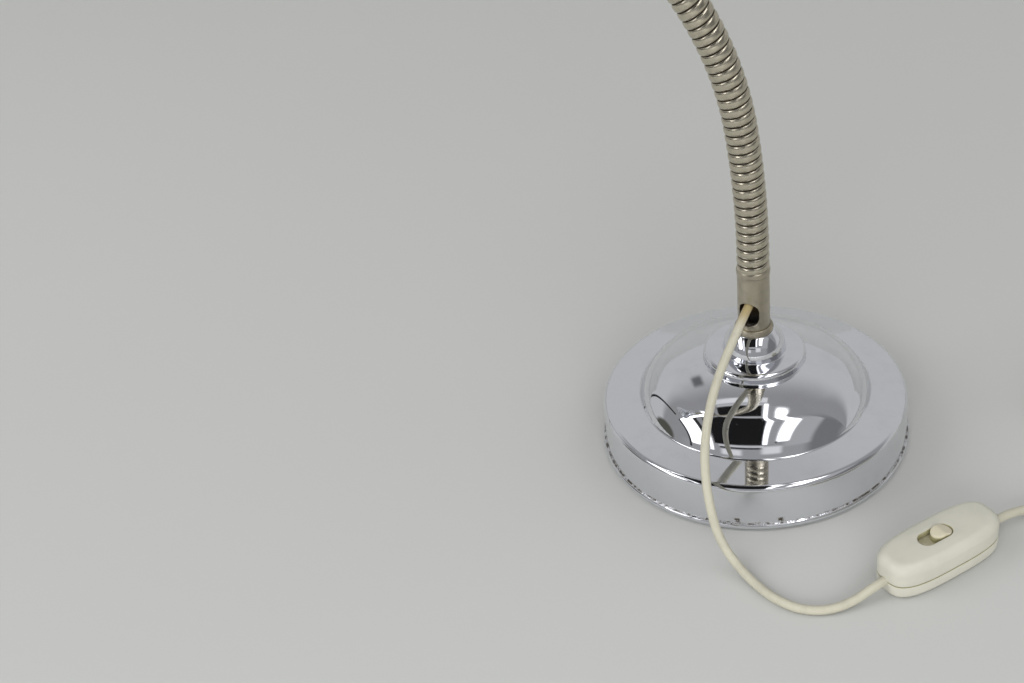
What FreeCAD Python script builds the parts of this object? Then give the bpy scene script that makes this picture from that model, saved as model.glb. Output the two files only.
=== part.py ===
import FreeCAD, Part
import math
import os

V = FreeCAD.Vector
UP = V(0, 0, 1)
FORWARD = V(1, 0, 0)

# Desk lamp with a round weighted base, a short neck tube and a long gooseneck.
# Millimetres. Origin on the table under the base's centre, +Z up, the arm
# leans towards -X, and the cord leaves the neck tube towards -Y.

# Base: pressed shell, cast weight, closing plate and pad
base_radius = 75.0
bead_radius = 1.8
bead_lift = 0.4
bead_stand = 1.4
edge_roll = 2.6
plate_height = 24.8
shell_wall = 0.9
plate_rise = 1.8
dome_foot_radius = 55.8
crease_radius = 42.2
crease_height = 40.4
dome_bulge = 1.9
shoulder_bulge = 0.5
disc_foot_height = 45.8
disc_radius = 24.4
disc_roll = 1.9
disc_height = 50.6
cap_foot_radius = 15.0
cap_top_radius = 9.4
cap_height = 62.0
cap_bulge = 1.5
pad_thickness = 1.5
closing_plate_thickness = 1.2
closing_plate_gap = 0.4
weight_side_gap = 4.2
weight_gap = 0.3
weight_rim_width = 10.5
weight_web = 9.6
weight_hub_radius = 18.0
weight_screw_depth = 9.0
closing_screw_radius = 1.9
closing_screw_head = 3.4
closing_screw_head_height = 0.8
closing_screw_count = 3

# Threaded stem that clamps the neck, the shell and the weight together
stem_radius = 4.9
stem_bore = 3.2
stem_clearance = 0.2
stem_tail = 5.6
stem_rise = 4.6
washer_radius = 11.0
washer_thickness = 1.0
nut_flats = 17.0
nut_height = 4.0

# Neck tube with its cord hole, seat collar, threaded plug and top ring
tube_radius = 7.65
tube_wall = 1.0
tube_height = 31.2
slip = 0.1
collar_radius = 9.2
collar_height = 2.8
plug_height = 4.4
hole_width = 9.6
hole_height = 12.8
hole_centre_above_seat = 11.6
hole_turn = -110.0
ring_radius = 7.95
ring_height = 3.2

# Gooseneck: links that turn on each other, with lips at their ends that clear each other
link_length = 20.7
link_count = 21
link_wall = 1.55
link_lip_bore = 4.4
link_lip = 1.5
link_swing = 8.0
link_gap = 0.3
end_turn = 1.7
seat_gap = 0.3
spigot_radius = 4.0
spigot_bore = 2.9
spigot_length = 13.5
spigot_depth = 7.0
flex_radius = 2.5
flex_gap = 0.3

# Arm's line: straight and round stretches, as length and radius (0 is straight)
root_straight = 4.0
lower_bend_length = 66.0
lower_bend_radius = 500.0
visible_bend_length = 63.6
visible_bend_radius = 170.0
arm_straight = 134.0
over_bend_length = 142.4
over_bend_radius = 85.0

# Lamp head, measured along its own axis from the arm's end
fitting_radius = 8.6
fitting_height = 10.0
head_thread_length = 14.0
shade_wall = 0.8
shade_cap_radius = 21.5
shade_cap_roll = 4.5
shade_cap_length = 44.0
shade_flare_length = 62.0
shade_mouth_radius = 56.0
shade_bulge = 5.5
shade_bead_radius = 1.1
holder_radius = 19.2
holder_wall = 2.0
holder_cap_height = 18.0
holder_cap_roof = 2.4
holder_neck_radius = 10.0
holder_skirt_length = 31.0
insert_height = 9.0
insert_gap = 0.2
screw_shell_radius = 13.7
screw_shell_wall = 0.5
screw_shell_length = 22.0
tab_length = 16.0
tab_width = 5.0
tab_thickness = 1.0
terminal_length = 8.0
terminal_width = 6.0
terminal_height = 4.5
terminal_offset = 9.0
bulb_cap_radius = 13.0
bulb_cap_length = 22.0
bulb_tip_radius = 4.6
bulb_tip_height = 2.6
bulb_radius = 22.5
bulb_neck_radius = 12.2
bulb_neck_length = 7.0
bulb_wall = 0.8
stem_glass_radius = 4.2
stem_glass_length = 24.0
filament_radius = 0.5
filament_width = 14.0
filament_height = 12.0

# Cord and what is on it
cord_diameter = 4.2
switch_x = 82.9
switch_y = -94.7
switch_turn = 37.8
switch_half_length = 31.1
switch_half_width = 13.0
switch_height = 17.8
switch_squareness = 3.2
switch_top_roll = 4.6
switch_foot_roll = 2.6
switch_wall = 1.8
switch_floor = 1.8
switch_roof = 2.6
seam_height = 7.0
seam_gap = 0.15
entry_height = 6.8
entry_clearance = 0.25
slot_length = 17.8
slot_width = 8.4
slot_offset = -2.4
thumb_length = 10.4
thumb_clearance = 0.3
thumb_rise = 2.0
thumb_ridge_share = 0.45
slider_length = 25.0
slider_width = 11.0
slider_thickness = 1.4
bridge_length = 12.0
bridge_width = 5.0
bridge_thickness = 1.0
contact_inner = 4.0
contact_outer = 19.5
contact_width = 6.0
contact_base_height = 4.6
contact_post = 1.4
contact_gap = 0.4
clamp_gap = 0.5
clamp_length = 3.2
clamp_width = 12.0
cord_end_inset = 9.0
boss_x = 21.5
boss_y = 6.6
boss_radius = 2.2
switch_screw_radius = 1.3
switch_screw_head = 1.9
switch_screw_head_height = 1.2
switch_screw_length = 12.0

coil_gap = 0.55
coil_layer_gap = 0.5
coil_mean_radius = 23.2
coil_layers = 4
coil_turns = 9.79
climb_turns = 0.5
coil_x = 178.0
coil_y = -48.0
coil_heading = 15.0
tie_thickness = 0.5
tie_width = 5.0
tie_gap = 0.3
tie_turn = -60.0

relief_length = 22.0
relief_tip_radius = 2.7
relief_foot_radius = 5.0
plug_length = 30.0
plug_width = 35.0
plug_back_width = 15.0
plug_thickness = 13.5
plug_shoulder_share = 0.42
plug_edge = 2.4
pin_radius = 2.0
pin_length = 19.0
pin_spacing = 19.0
pin_seat = 4.0

overrun = 5.0


# Shared ways of making solids

def turned(points):
    """Solid of revolution about Z. A point is (r, z), or (mid, end) for a round stretch through mid."""
    edges = []
    here = points[0]
    for step in points[1:] + [points[0]]:
        if isinstance(step[0], tuple):
            mid, end = step
            through = [V(r, 0, z) for r, z in (here, mid, end)]
            edges.append(Part.Arc(*through).toShape())
        else:
            end = step
            if abs(end[0] - here[0]) + abs(end[1] - here[1]) > 1e-7:
                edges.append(Part.LineSegment(V(here[0], 0, here[1]), V(end[0], 0, end[1])).toShape())
        here = end
    return Part.Face(Part.Wire(edges)).revolve(V(0, 0, 0), UP, 360)


def bulged(a, b, rise):
    """Round stretch from a to b that rises by rise to the right of the way from b to a."""
    across = (b[0] - a[0], b[1] - a[1])
    length = math.hypot(*across)
    mid = ((a[0] + b[0]) / 2 + across[1] / length * rise, (a[1] + b[1]) / 2 - across[0] / length * rise)
    return (mid, b)


def rounded(centre, radius, start, end):
    """Round stretch about centre, from start to end in degrees."""
    def at(angle):
        return (centre[0] + radius * math.cos(math.radians(angle)),
                centre[1] + radius * math.sin(math.radians(angle)))
    return (at((start + end) / 2), at(end))


def rod(radius, low, high, x=0, y=0):
    return Part.makeCylinder(radius, high - low, V(x, y, low))


def sleeve(outer, inner, low, high):
    return rod(outer, low, high).cut(rod(inner, low - overrun, high + overrun))


def block(x0, x1, y0, y1, z0, z1):
    return Part.makeBox(x1 - x0, y1 - y0, z1 - z0, V(x0, y0, z0))


def placed(shape, placement):
    shape = shape.copy()
    shape.Placement = placement.multiply(shape.Placement)
    return shape


made = {}


def save(name, *solids):
    """Keeps one node: one solid, or a group of like ones."""
    for solid in solids:
        if not solid.isValid() or solid.Volume <= 0:
            print("not sound:", name)
    shape = solids[0] if len(solids) == 1 else Part.makeCompound(list(solids))
    made[name] = shape
    print(name, "solids", len(shape.Solids), "volume", round(shape.Volume, 1))


# Round tubes along arcs

def arc_between(a, heading, b):
    """Arc that leaves a along heading and ends at b."""
    chord = b - a
    turn = heading.getAngle(chord)
    if turn < 1e-6:
        return Part.LineSegment(a, b).toShape()
    corner = a + heading * (chord.Length / (2 * math.cos(turn)))
    middle = a + chord * 0.5
    mid = middle + (corner - middle) * (math.cos(turn) / (1 + math.cos(turn)))
    return Part.Arc(a, mid, b).toShape()


def biarc(a, start, b, end):
    """Two arcs from a along start to b along end, tangent where they join."""
    span = b - a
    total = start + end
    along = span.dot(total)
    bend = 2 * (1 - start.dot(end))
    if bend < 1e-9:
        reach = span.Length ** 2 / (4 * span.dot(end))
    else:
        reach = (-along + math.sqrt(along ** 2 + bend * span.Length ** 2)) / bend
    join = (a + start * reach + b - end * reach) * 0.5
    back = arc_between(b, end * -1, join)
    return [arc_between(a, start, join), back]


def tube_along(edges, radius, start, heading):
    """Round tube along edges, its first end at start and square to heading."""
    profile = Part.Wire(Part.makeCircle(radius, start, heading))
    return Part.Wire(edges).makePipeShell([profile], True, False)


def least_gap(point, first, last, radius, samples_per_turn=48):
    """Least gap between a winding's turns, from points along its line."""
    n = int((last - first) * samples_per_turn)
    line = [point(first + (last - first) * i / n) for i in range(n + 1)]
    near = samples_per_turn // 2
    least = min((line[i] - line[j]).Length for i in range(n + 1) for j in range(i + near, n + 1)
                if abs(line[i].z - line[j].z) < 4 * radius)
    return least - 2 * radius


# Base

wall_radius = base_radius - bead_stand


def shell_outline(inset):
    """The shell's outer profile from the edge roll up to the neck's seat, moved in by inset."""
    foot = (dome_foot_radius - inset, plate_height + plate_rise - inset)
    crease = (crease_radius - inset, crease_height - inset)
    disc_foot = (disc_radius - inset, disc_foot_height - inset)
    cap_foot = (cap_foot_radius - inset, disc_height - inset)
    roll = (wall_radius - edge_roll, plate_height - edge_roll)
    disc = (disc_radius - disc_roll, disc_height - disc_roll)
    return [
        (wall_radius - inset, plate_height - edge_roll),
        rounded(roll, edge_roll - inset, 0, 90),
        foot,
        bulged(foot, crease, dome_bulge),
        bulged(crease, disc_foot, shoulder_bulge),
        (disc_radius - inset, disc_height - disc_roll),
        rounded(disc, disc_roll - inset, 0, 90),
        cap_foot,
        bulged(cap_foot, (cap_top_radius - inset, cap_height - inset), cap_bulge),
    ]


bead_centre = base_radius - bead_radius
bead_middle = bead_lift + bead_radius
bead_top = bead_middle + math.sqrt(bead_radius ** 2 - (wall_radius - bead_centre) ** 2)
bead_end_turn = math.degrees(math.acos((wall_radius - bead_centre) / bead_radius))
shell_bore = stem_radius + stem_clearance
outside = [(bead_centre, bead_lift),
           rounded((bead_centre, bead_middle), bead_radius, -90, bead_end_turn)]
outside += shell_outline(0)
inside = shell_outline(shell_wall)
inner_cut = turned([(0, -overrun), (wall_radius - shell_wall, -overrun)] + inside
                   + [(0, cap_height - shell_wall)])
outer_full = turned([(0, bead_lift)] + outside + [(0, cap_height)])
base_shell = outer_full.cut(inner_cut).cut(rod(shell_bore, 0, cap_height + overrun))
save("base_shell", base_shell)

closing_top = pad_thickness + closing_plate_thickness
closing_radius = wall_radius - shell_wall - closing_plate_gap
weight_radius = wall_radius - shell_wall - weight_side_gap
weight_top = plate_height - shell_wall - weight_gap
screw_circle = weight_radius - weight_rim_width / 2
recess_top = weight_top - weight_web
screw_spots = []
for i in range(closing_screw_count):
    angle = 2 * math.pi * i / closing_screw_count + math.pi / 2
    screw_spots.append((screw_circle * math.cos(angle), screw_circle * math.sin(angle)))

foot_pad = rod(closing_radius, 0, pad_thickness)
save("foot_pad", foot_pad)

closing_plate = rod(closing_radius, pad_thickness, closing_top)
weight = rod(weight_radius, closing_top, weight_top)
recess = sleeve(weight_radius - weight_rim_width, weight_hub_radius, closing_top - overrun, recess_top)
weight = weight.cut(recess).cut(rod(shell_bore, closing_top - overrun, weight_top + overrun))
washer_top = recess_top - washer_thickness
weight = weight.cut(rod(washer_radius + stem_clearance, closing_top - overrun, recess_top))
screws = []
for x, y in screw_spots:
    head = rod(closing_screw_head, pad_thickness, pad_thickness + closing_screw_head_height, x, y)
    shank = rod(closing_screw_radius, pad_thickness, closing_top + weight_screw_depth, x, y)
    screws.append(head.fuse(shank))
    hole = rod(closing_screw_radius + slip, 0, closing_top + weight_screw_depth + slip, x, y)
    seat = rod(closing_screw_head + slip, 0, pad_thickness + closing_screw_head_height, x, y)
    closing_plate = closing_plate.cut(hole).cut(seat)
    weight = weight.cut(hole)
save("closing_plate", closing_plate)
save("base_weight", weight)
save("closing_screws", *screws)

# Stem, washer and nut

stem_top = cap_height + stem_rise
stem_low = washer_top - stem_tail
save("clamp_stem", sleeve(stem_radius, stem_bore, stem_low, stem_top))
save("clamp_washer", sleeve(washer_radius, shell_bore, washer_top, recess_top))


def hexagon(flats, low, high):
    reach = flats / math.sqrt(3)
    turns = [k * math.pi / 3 for k in range(6)]
    corners = [V(reach * math.cos(turn), reach * math.sin(turn), low) for turn in turns]
    face = Part.Face(Part.makePolygon(corners + [corners[0]]))
    return face.extrude(V(0, 0, high - low))


nut = hexagon(nut_flats, washer_top - nut_height, washer_top)
save("clamp_nut", nut.cut(rod(stem_radius + slip / 2, 0, washer_top + overrun)))

# Neck

tube_top = cap_height + tube_height
tube_bore = tube_radius - tube_wall
neck_tube = sleeve(tube_radius, tube_bore, cap_height, tube_top)
hole_height_at = cap_height + hole_centre_above_seat
hole_end = (hole_height - hole_width) / 2
hole_way = V(math.cos(math.radians(hole_turn)), math.sin(math.radians(hole_turn)), 0)
hole_reach = 2 * tube_radius
for level in (hole_height_at - hole_end, hole_height_at + hole_end):
    neck_tube = neck_tube.cut(Part.makeCylinder(hole_width / 2, hole_reach, V(0, 0, level), hole_way))
hole_side = block(0, hole_reach, -hole_width / 2, hole_width / 2, -hole_end, hole_end)
hole_place = FreeCAD.Placement(V(0, 0, hole_height_at), FreeCAD.Rotation(UP, hole_turn))
save("neck_tube", neck_tube.cut(placed(hole_side, hole_place)))

collar_bore = tube_radius + slip
collar_round = (collar_radius - collar_bore) / 2
save("neck_collar", turned([
    (collar_bore, cap_height), (collar_radius, cap_height),
    (collar_radius, cap_height + collar_height - collar_round),
    rounded((collar_radius - collar_round, cap_height + collar_height - collar_round), collar_round, 0, 90),
    (collar_bore, cap_height + collar_height)]))
save("neck_plug", sleeve(tube_bore - slip, stem_radius + slip / 2, cap_height, cap_height + plug_height))

ring_top = tube_top + ring_height
save("neck_top_ring", sleeve(ring_radius, spigot_radius + slip, tube_top, ring_top))

# Arm's line: a point s along it, with its heading left of upright

arm_start = ring_top + seat_gap + end_turn
arm_length = link_count * link_length
arm_runs = [(root_straight, 0), (lower_bend_length, lower_bend_radius),
            (visible_bend_length, visible_bend_radius), (arm_straight, 0),
            (over_bend_length, over_bend_radius)]
arm_runs.append((arm_length - sum(run[0] for run in arm_runs), 0))


def arm_at(s):
    """Point and heading angle at s. Before the start and past the end the line runs straight."""
    x, z, lean = 0.0, arm_start, 0.0
    left = s
    for i, (length, radius) in enumerate(arm_runs):
        part = left if i == len(arm_runs) - 1 or left < length else length
        if radius:
            turn = part / radius
            x += radius * (math.cos(lean + turn) - math.cos(lean))
            z += radius * (math.sin(lean + turn) - math.sin(lean))
            lean += turn
        else:
            x -= math.sin(lean) * part
            z += math.cos(lean) * part
        left -= part
        if left <= 0:
            return V(x, 0, z), lean
    return V(x, 0, z), lean


def arm_run(first, last, radius):
    """Round rod along the arm's line from first to last."""
    marks = [first]
    total = 0.0
    for length, bend_radius in arm_runs[:-1]:
        total += length
        if first < total < last:
            marks.append(total)
    marks.append(last)
    edges = []
    for a, b in zip(marks[:-1], marks[1:]):
        start, lean = arm_at(a)
        end, end_lean = arm_at(b)
        if abs(end_lean - lean) > 1e-9:
            edges.append(Part.Arc(start, arm_at((a + b) / 2)[0], end).toShape())
        else:
            edges.append(Part.LineSegment(start, end).toShape())
    start, lean = arm_at(first)
    return tube_along(edges, radius, start, V(-math.sin(lean), 0, math.cos(lean)))


# Gooseneck links: tubes with inner lips, coned at their ends so that they can turn on each other

link_bore = tube_radius - link_wall
cone_reach = 2 * tube_radius
cone_slope = math.sin(math.radians(link_swing)) / 2


def link_end(s, up):
    """What is cut away past the link's end at s, above it or below it."""
    side = 1 if up else -1
    cone = turned([(0, -side * link_gap / 2), (cone_reach, -side * (link_gap / 2 + cone_reach * cone_slope)),
                   (cone_reach, side * cone_reach), (0, side * cone_reach)])
    point, lean = arm_at(s)
    return placed(cone, FreeCAD.Placement(point, FreeCAD.Rotation(V(0, 1, 0), -math.degrees(lean))))


for k in range(link_count):
    low = k * link_length
    high = low + link_length
    first = low - end_turn if k == 0 else low
    last = high + end_turn if k == link_count - 1 else high
    link = arm_run(first, last, tube_radius)
    link = link.cut(arm_run(first - overrun, last + overrun, link_lip_bore))
    link = link.cut(arm_run(low + link_lip, high - link_lip, link_bore))
    if k > 0:
        link = link.cut(link_end(low, False))
    if k < link_count - 1:
        link = link.cut(link_end(high, True))
    save("gooseneck_coil_%02d" % k, link)

# Spigots that hold the gooseneck at both ends

save("neck_spigot", turned([
    (spigot_bore, tube_top - spigot_depth), (tube_bore - slip, tube_top - spigot_depth),
    (tube_bore - slip, tube_top), (spigot_radius, tube_top),
    (spigot_radius, ring_top + spigot_length), (spigot_bore, ring_top + spigot_length)]))

head_point, head_lean = arm_at(arm_length)
head_place = FreeCAD.Placement(head_point, FreeCAD.Rotation(V(0, 1, 0), -math.degrees(head_lean)))
fitting_low = end_turn + seat_gap
fitting_top = fitting_low + fitting_height
fitting_edge = (fitting_radius - spigot_radius) / 4
arm_fitting = turned([
    (spigot_bore, fitting_low - spigot_length), (spigot_radius, fitting_low - spigot_length),
    (spigot_radius, fitting_low), (fitting_radius - fitting_edge, fitting_low),
    (fitting_radius, fitting_low + fitting_edge), (fitting_radius, fitting_top),
    (stem_radius, fitting_top), (stem_radius, fitting_top + head_thread_length),
    (spigot_bore, fitting_top + head_thread_length)])
save("arm_fitting", placed(arm_fitting, head_place))

# Flexible wires inside the gooseneck, from the cord hole to the lampholder

cord_radius = cord_diameter / 2
cord_start = V(1.3, 3.4, 80.4)
flex_low = arm_start - (cord_start.z + cord_radius + flex_gap)
save("inner_flex", arm_run(-flex_low, arm_length + fitting_top + head_thread_length, flex_radius))

# Lamp head

shade_low = fitting_top
shade_cap_end = shade_low + shade_cap_length
shade_end = shade_cap_end + shade_flare_length
holder_low = shade_low + shade_wall
skirt_low = holder_low + holder_cap_height
skirt_end = skirt_low + holder_skirt_length


def shade_outline(inset):
    roll = (shade_cap_radius - shade_cap_roll, shade_low + shade_cap_roll)
    shoulder = (shade_cap_radius - inset, shade_cap_end + inset / 2)
    mouth = (shade_mouth_radius - inset, shade_end)
    return [
        (shade_cap_radius - shade_cap_roll, shade_low + inset),
        rounded(roll, shade_cap_roll - inset, -90, 0),
        shoulder,
        bulged(shoulder, mouth, shade_bulge),
    ]


shade = turned([(0, shade_low)] + shade_outline(0) + [(0, shade_end)])
inside = [(0, shade_low + shade_wall)] + shade_outline(shade_wall)
inside += [(shade_mouth_radius - shade_wall, shade_end + overrun), (0, shade_end + overrun)]
shade = shade.cut(turned(inside))
bead_line = shade_mouth_radius - shade_wall / 2
shade_bead = Part.makeTorus(bead_line, shade_bead_radius, V(0, 0, shade_end))
shade = shade.cut(rod(shell_bore, shade_low - overrun, shade_low + overrun)).fuse(shade_bead)
save("shade", placed(shade, head_place))

thread_bore = stem_radius + slip
holder_cap = turned([
    (thread_bore, holder_low), (holder_neck_radius, holder_low),
    bulged((holder_neck_radius, holder_low), (holder_radius, skirt_low), holder_wall),
    (holder_radius - holder_wall, skirt_low),
    bulged((holder_radius - holder_wall, skirt_low),
           (holder_neck_radius, holder_low + holder_cap_roof), -holder_wall),
    (thread_bore, holder_low + holder_cap_roof)])
save("holder_cap", placed(holder_cap, head_place))
holder_skirt = sleeve(holder_radius, holder_radius - holder_wall, skirt_low, skirt_end)
save("holder_skirt", placed(holder_skirt, head_place))

insert_low = skirt_low
insert_top = insert_low + insert_height
insert_radius = holder_radius - holder_wall - insert_gap
save("holder_insert", placed(rod(insert_radius, insert_low, insert_top), head_place))
screw_shell_end = insert_top + screw_shell_length
screw_shell = sleeve(screw_shell_radius, screw_shell_radius - screw_shell_wall, insert_top, screw_shell_end)
save("screw_shell", placed(screw_shell, head_place))
tip_low = insert_top + tab_thickness
tab = block(-tab_length / 2, tab_length / 2, -tab_width / 2, tab_width / 2, insert_top, tip_low)
save("centre_contact", placed(tab, head_place))
terminals = []
for side in (-1, 1):
    middle = side * terminal_offset
    terminal = block(middle - terminal_width / 2, middle + terminal_width / 2,
                     -terminal_length / 2, terminal_length / 2, insert_low - terminal_height, insert_low)
    terminals.append(placed(terminal, head_place))
save("holder_terminals", *terminals)

cap_low = tip_low + bulb_tip_height
cap_end = cap_low + bulb_cap_length
bulb_middle = cap_end + bulb_neck_length + math.sqrt(bulb_radius ** 2 - bulb_neck_radius ** 2)
bulb_cap = sleeve(bulb_cap_radius, bulb_cap_radius - screw_shell_wall, cap_low, cap_end)
bulb_cap = bulb_cap.fuse(rod(bulb_cap_radius, cap_low, cap_low + screw_shell_wall))
bulb_cap = bulb_cap.fuse(rod(bulb_tip_radius, tip_low, cap_low + screw_shell_wall / 2))
save("bulb_cap", placed(bulb_cap, head_place))


def bulb_outline(inset):
    radius = bulb_radius - inset
    neck = bulb_neck_radius - inset
    meet = bulb_middle - math.sqrt(radius ** 2 - neck ** 2)
    low = cap_low + screw_shell_wall + inset
    start = -math.degrees(math.acos(neck / radius))
    return [(0, low), (neck, low), (neck, meet), rounded((0, bulb_middle), radius, start, 90)]


bulb_glass = turned(bulb_outline(0)).cut(turned(bulb_outline(bulb_wall)))
save("bulb_glass", placed(bulb_glass, head_place))
stem_glass_low = cap_low + screw_shell_wall + bulb_wall
stem_glass_top = stem_glass_low + stem_glass_length
filament_top = stem_glass_top + filament_height
legs = [(-filament_width / 4, stem_glass_top), (-filament_width / 2, filament_top),
        (filament_width / 2, filament_top), (filament_width / 4, stem_glass_top)]
bulb_stem = rod(stem_glass_radius, stem_glass_low, stem_glass_top)
for x, z in legs:
    bulb_stem = bulb_stem.fuse(Part.makeSphere(filament_radius, V(x, 0, z)))
for a, b in zip(legs[:-1], legs[1:]):
    start, end = V(a[0], 0, a[1]), V(b[0], 0, b[1])
    bulb_stem = bulb_stem.fuse(Part.makeCylinder(filament_radius, (end - start).Length, start, end - start))
save("bulb_stem", placed(bulb_stem, head_place))

# Free cord: straight runs joined by tangent arcs

def cord_tube(name, points):
    """Tube along a route. Each arc's radius is 0.45 of the shorter run over the tangent of half the turn."""
    edges = []
    radii = []
    here = points[0]
    for i in range(1, len(points) - 1):
        before = points[i] - points[i - 1]
        after = points[i + 1] - points[i]
        half = before.getAngle(after) / 2
        cut_back = 0.45 * min(before.Length, after.Length)
        radii.append(round(cut_back / math.tan(half) / cord_diameter, 1))
        start = points[i] - V(before).normalize() * cut_back
        end = points[i] + V(after).normalize() * cut_back
        edges.append(Part.LineSegment(here, start).toShape())
        edges.append(arc_between(start, V(before).normalize(), end))
        here = end
    edges.append(Part.LineSegment(here, points[-1]).toShape())
    tube = tube_along(edges, cord_radius, points[0], V(points[1] - points[0]).normalize())
    length = sum(edge.Length for edge in edges)
    share = tube.Volume / (math.pi * cord_radius ** 2 * length)
    runs = [round((b - a).Length, 1) for a, b in zip(points[:-1], points[1:])]
    print(name, "length", round(length, 1), "volume over section times length", round(share, 4))
    print(name, "runs", runs, "radii in diameters", radii)
    save(name, tube)
    return length


lead_route = [
    cord_start, V(-3.6, -9.6, 77.2), V(-9.2, -22.8, 70.4), V(-15.2, -37.2, 62.4),
    V(-19.4, -52.4, 53.8), V(-21.2, -67.8, 45.4), V(-20.5, -80.4, 35.4), V(-18.3, -88.0, 25.2),
    V(-15.5, -92.3, 15.0), V(-11.0, -97.1, 7.8), V(-4.6, -104.2, 3.5), V(2.4, -112.6, 2.1),
    V(10.8, -121.4, 2.1), V(21.8, -127.8, 2.1), V(34.0, -128.0, 2.1), V(44.8, -123.4, 3.2),
    V(53.2, -117.4, 5.9)]

switch_place = FreeCAD.Placement(V(switch_x, switch_y, 0), FreeCAD.Rotation(UP, switch_turn))


def on_switch(x, z):
    return switch_place.multVec(V(x, 0, z))


cord_stop = switch_half_length - cord_end_inset
lead_route.append(on_switch(-cord_stop - 1.4 * cord_diameter, entry_height))
lead_route.append(on_switch(-cord_stop, entry_height))
lengths = {"cord_lead": cord_tube("cord_lead", lead_route)}

# In-line switch: two shells, a sliding thumb piece and its contacts

def oval(half_length, half_width, low):
    """Closed outline |x/a|^n + |y/b|^n = 1."""
    count = 48
    points = []
    for i in range(count):
        c = math.cos(2 * math.pi * i / count)
        s = math.sin(2 * math.pi * i / count)
        points.append(V(half_length * math.copysign(abs(c) ** (2 / switch_squareness), c),
                        half_width * math.copysign(abs(s) ** (2 / switch_squareness), s), low))
    curve = Part.BSplineCurve()
    curve.interpolate(Points=points, PeriodicFlag=True)
    return Part.Wire(curve.toShape())


def oval_block(inset, low, high):
    face = Part.Face(oval(switch_half_length - inset, switch_half_width - inset, low))
    return face.extrude(V(0, 0, high - low))


def rolled_oval():
    """The switch's full outer form: rolled over at the top, less so at the foot."""
    sections = []
    steps = 4
    for k in range(steps + 1):
        angle = math.pi / 2 * k / steps
        sections.append((switch_foot_roll * (1 - math.sin(angle)), switch_foot_roll * (1 - math.cos(angle))))
    for k in range(steps + 1):
        angle = math.pi / 2 * k / steps
        sections.append((switch_top_roll * (1 - math.cos(angle)),
                         switch_height - switch_top_roll * (1 - math.sin(angle))))
    wires = [oval(switch_half_length - inset, switch_half_width - inset, z) for inset, z in sections]
    return Part.makeLoft(wires, True, True)


body = rolled_oval()
cavity = oval_block(switch_wall, switch_floor, switch_height - switch_roof)
roof_low = switch_height - switch_roof
keep = 2 * switch_half_length
low_half = block(-keep, keep, -keep, keep, -overrun, seam_height)
high_half = block(-keep, keep, -keep, keep, seam_height + seam_gap, switch_height + overrun)
entries = Part.makeCylinder(cord_radius + entry_clearance, 2 * keep, V(-keep, 0, entry_height), FORWARD)
entries = entries.cut(block(-cord_stop, cord_stop, -keep, keep, 0, switch_height))


def stadium(length, width, low, high, x):
    """Upright block with round ends, centred at x."""
    side = length / 2 - width / 2
    shape = block(x - side, x + side, -width / 2, width / 2, low, high)
    for end in (x - side, x + side):
        shape = shape.fuse(rod(width / 2, low, high, end))
    return shape.removeSplitter()


lower = body.common(low_half).cut(cavity)
upper = body.common(high_half).cut(cavity)
screw_low = switch_screw_head_height / 2
switch_screws = []
for side in (-1, 1):
    x, y = side * boss_x, -side * boss_y
    post = rod(boss_radius, switch_floor, seam_height, x, y)
    lower = lower.fuse(post)
    upper = upper.fuse(rod(boss_radius, seam_height + seam_gap, roof_low + switch_roof / 2, x, y))
    hole = rod(switch_screw_radius + slip / 2, -overrun, screw_low + switch_screw_length + slip, x, y)
    seat = rod(switch_screw_head + slip, -overrun, screw_low + switch_screw_head_height, x, y)
    lower = lower.cut(hole).cut(seat)
    upper = upper.cut(hole)
    head = rod(switch_screw_head, screw_low, screw_low + switch_screw_head_height, x, y)
    shank = rod(switch_screw_radius, screw_low, screw_low + switch_screw_length, x, y)
    switch_screws.append(placed(head.fuse(shank), switch_place))
slot = stadium(slot_length, slot_width, roof_low - overrun, switch_height + overrun, slot_offset)
lower = lower.cut(entries)
upper = upper.cut(entries).cut(slot)
save("switch_lower", placed(lower, switch_place))
save("switch_upper", placed(upper, switch_place))
save("switch_screws", *switch_screws)

thumb_x = slot_offset + (slot_length - thumb_length) / 2 - thumb_clearance
thumb_width = slot_width - 2 * thumb_clearance
slider_top = roof_low - thumb_clearance
slider_low = slider_top - slider_thickness
thumb_top = switch_height + thumb_rise
thumb = stadium(thumb_length, thumb_width, slider_top - slider_thickness / 2, thumb_top, thumb_x)
wedge_back = thumb_x - thumb_length / 2
wedge_top = wedge_back + thumb_length * thumb_ridge_share
ridge = Part.Face(Part.makePolygon([
    V(wedge_back, -thumb_width, slider_low), V(wedge_back, -thumb_width, switch_height + thumb_rise / 2),
    V(wedge_top, -thumb_width, thumb_top),
    V(wedge_back + thumb_length, -thumb_width, switch_height),
    V(wedge_back + thumb_length, -thumb_width, slider_low), V(wedge_back, -thumb_width, slider_low)]))
thumb = thumb.common(ridge.extrude(V(0, 2 * thumb_width, 0)))
plate = block(thumb_x - slider_length / 2, thumb_x + slider_length / 2, -slider_width / 2, slider_width / 2,
              slider_low, slider_top)
save("switch_thumb", placed(plate.fuse(thumb), switch_place))
bridge_low = slider_low - bridge_thickness
bridge = block(thumb_x - bridge_length / 2, thumb_x + bridge_length / 2, -bridge_width / 2, bridge_width / 2,
               bridge_low, slider_low)
save("switch_bridge", placed(bridge, switch_place))
contacts = []
clamps = []
clamp_inner = boss_x + boss_radius + clamp_gap
post_top = bridge_low - contact_gap
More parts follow.
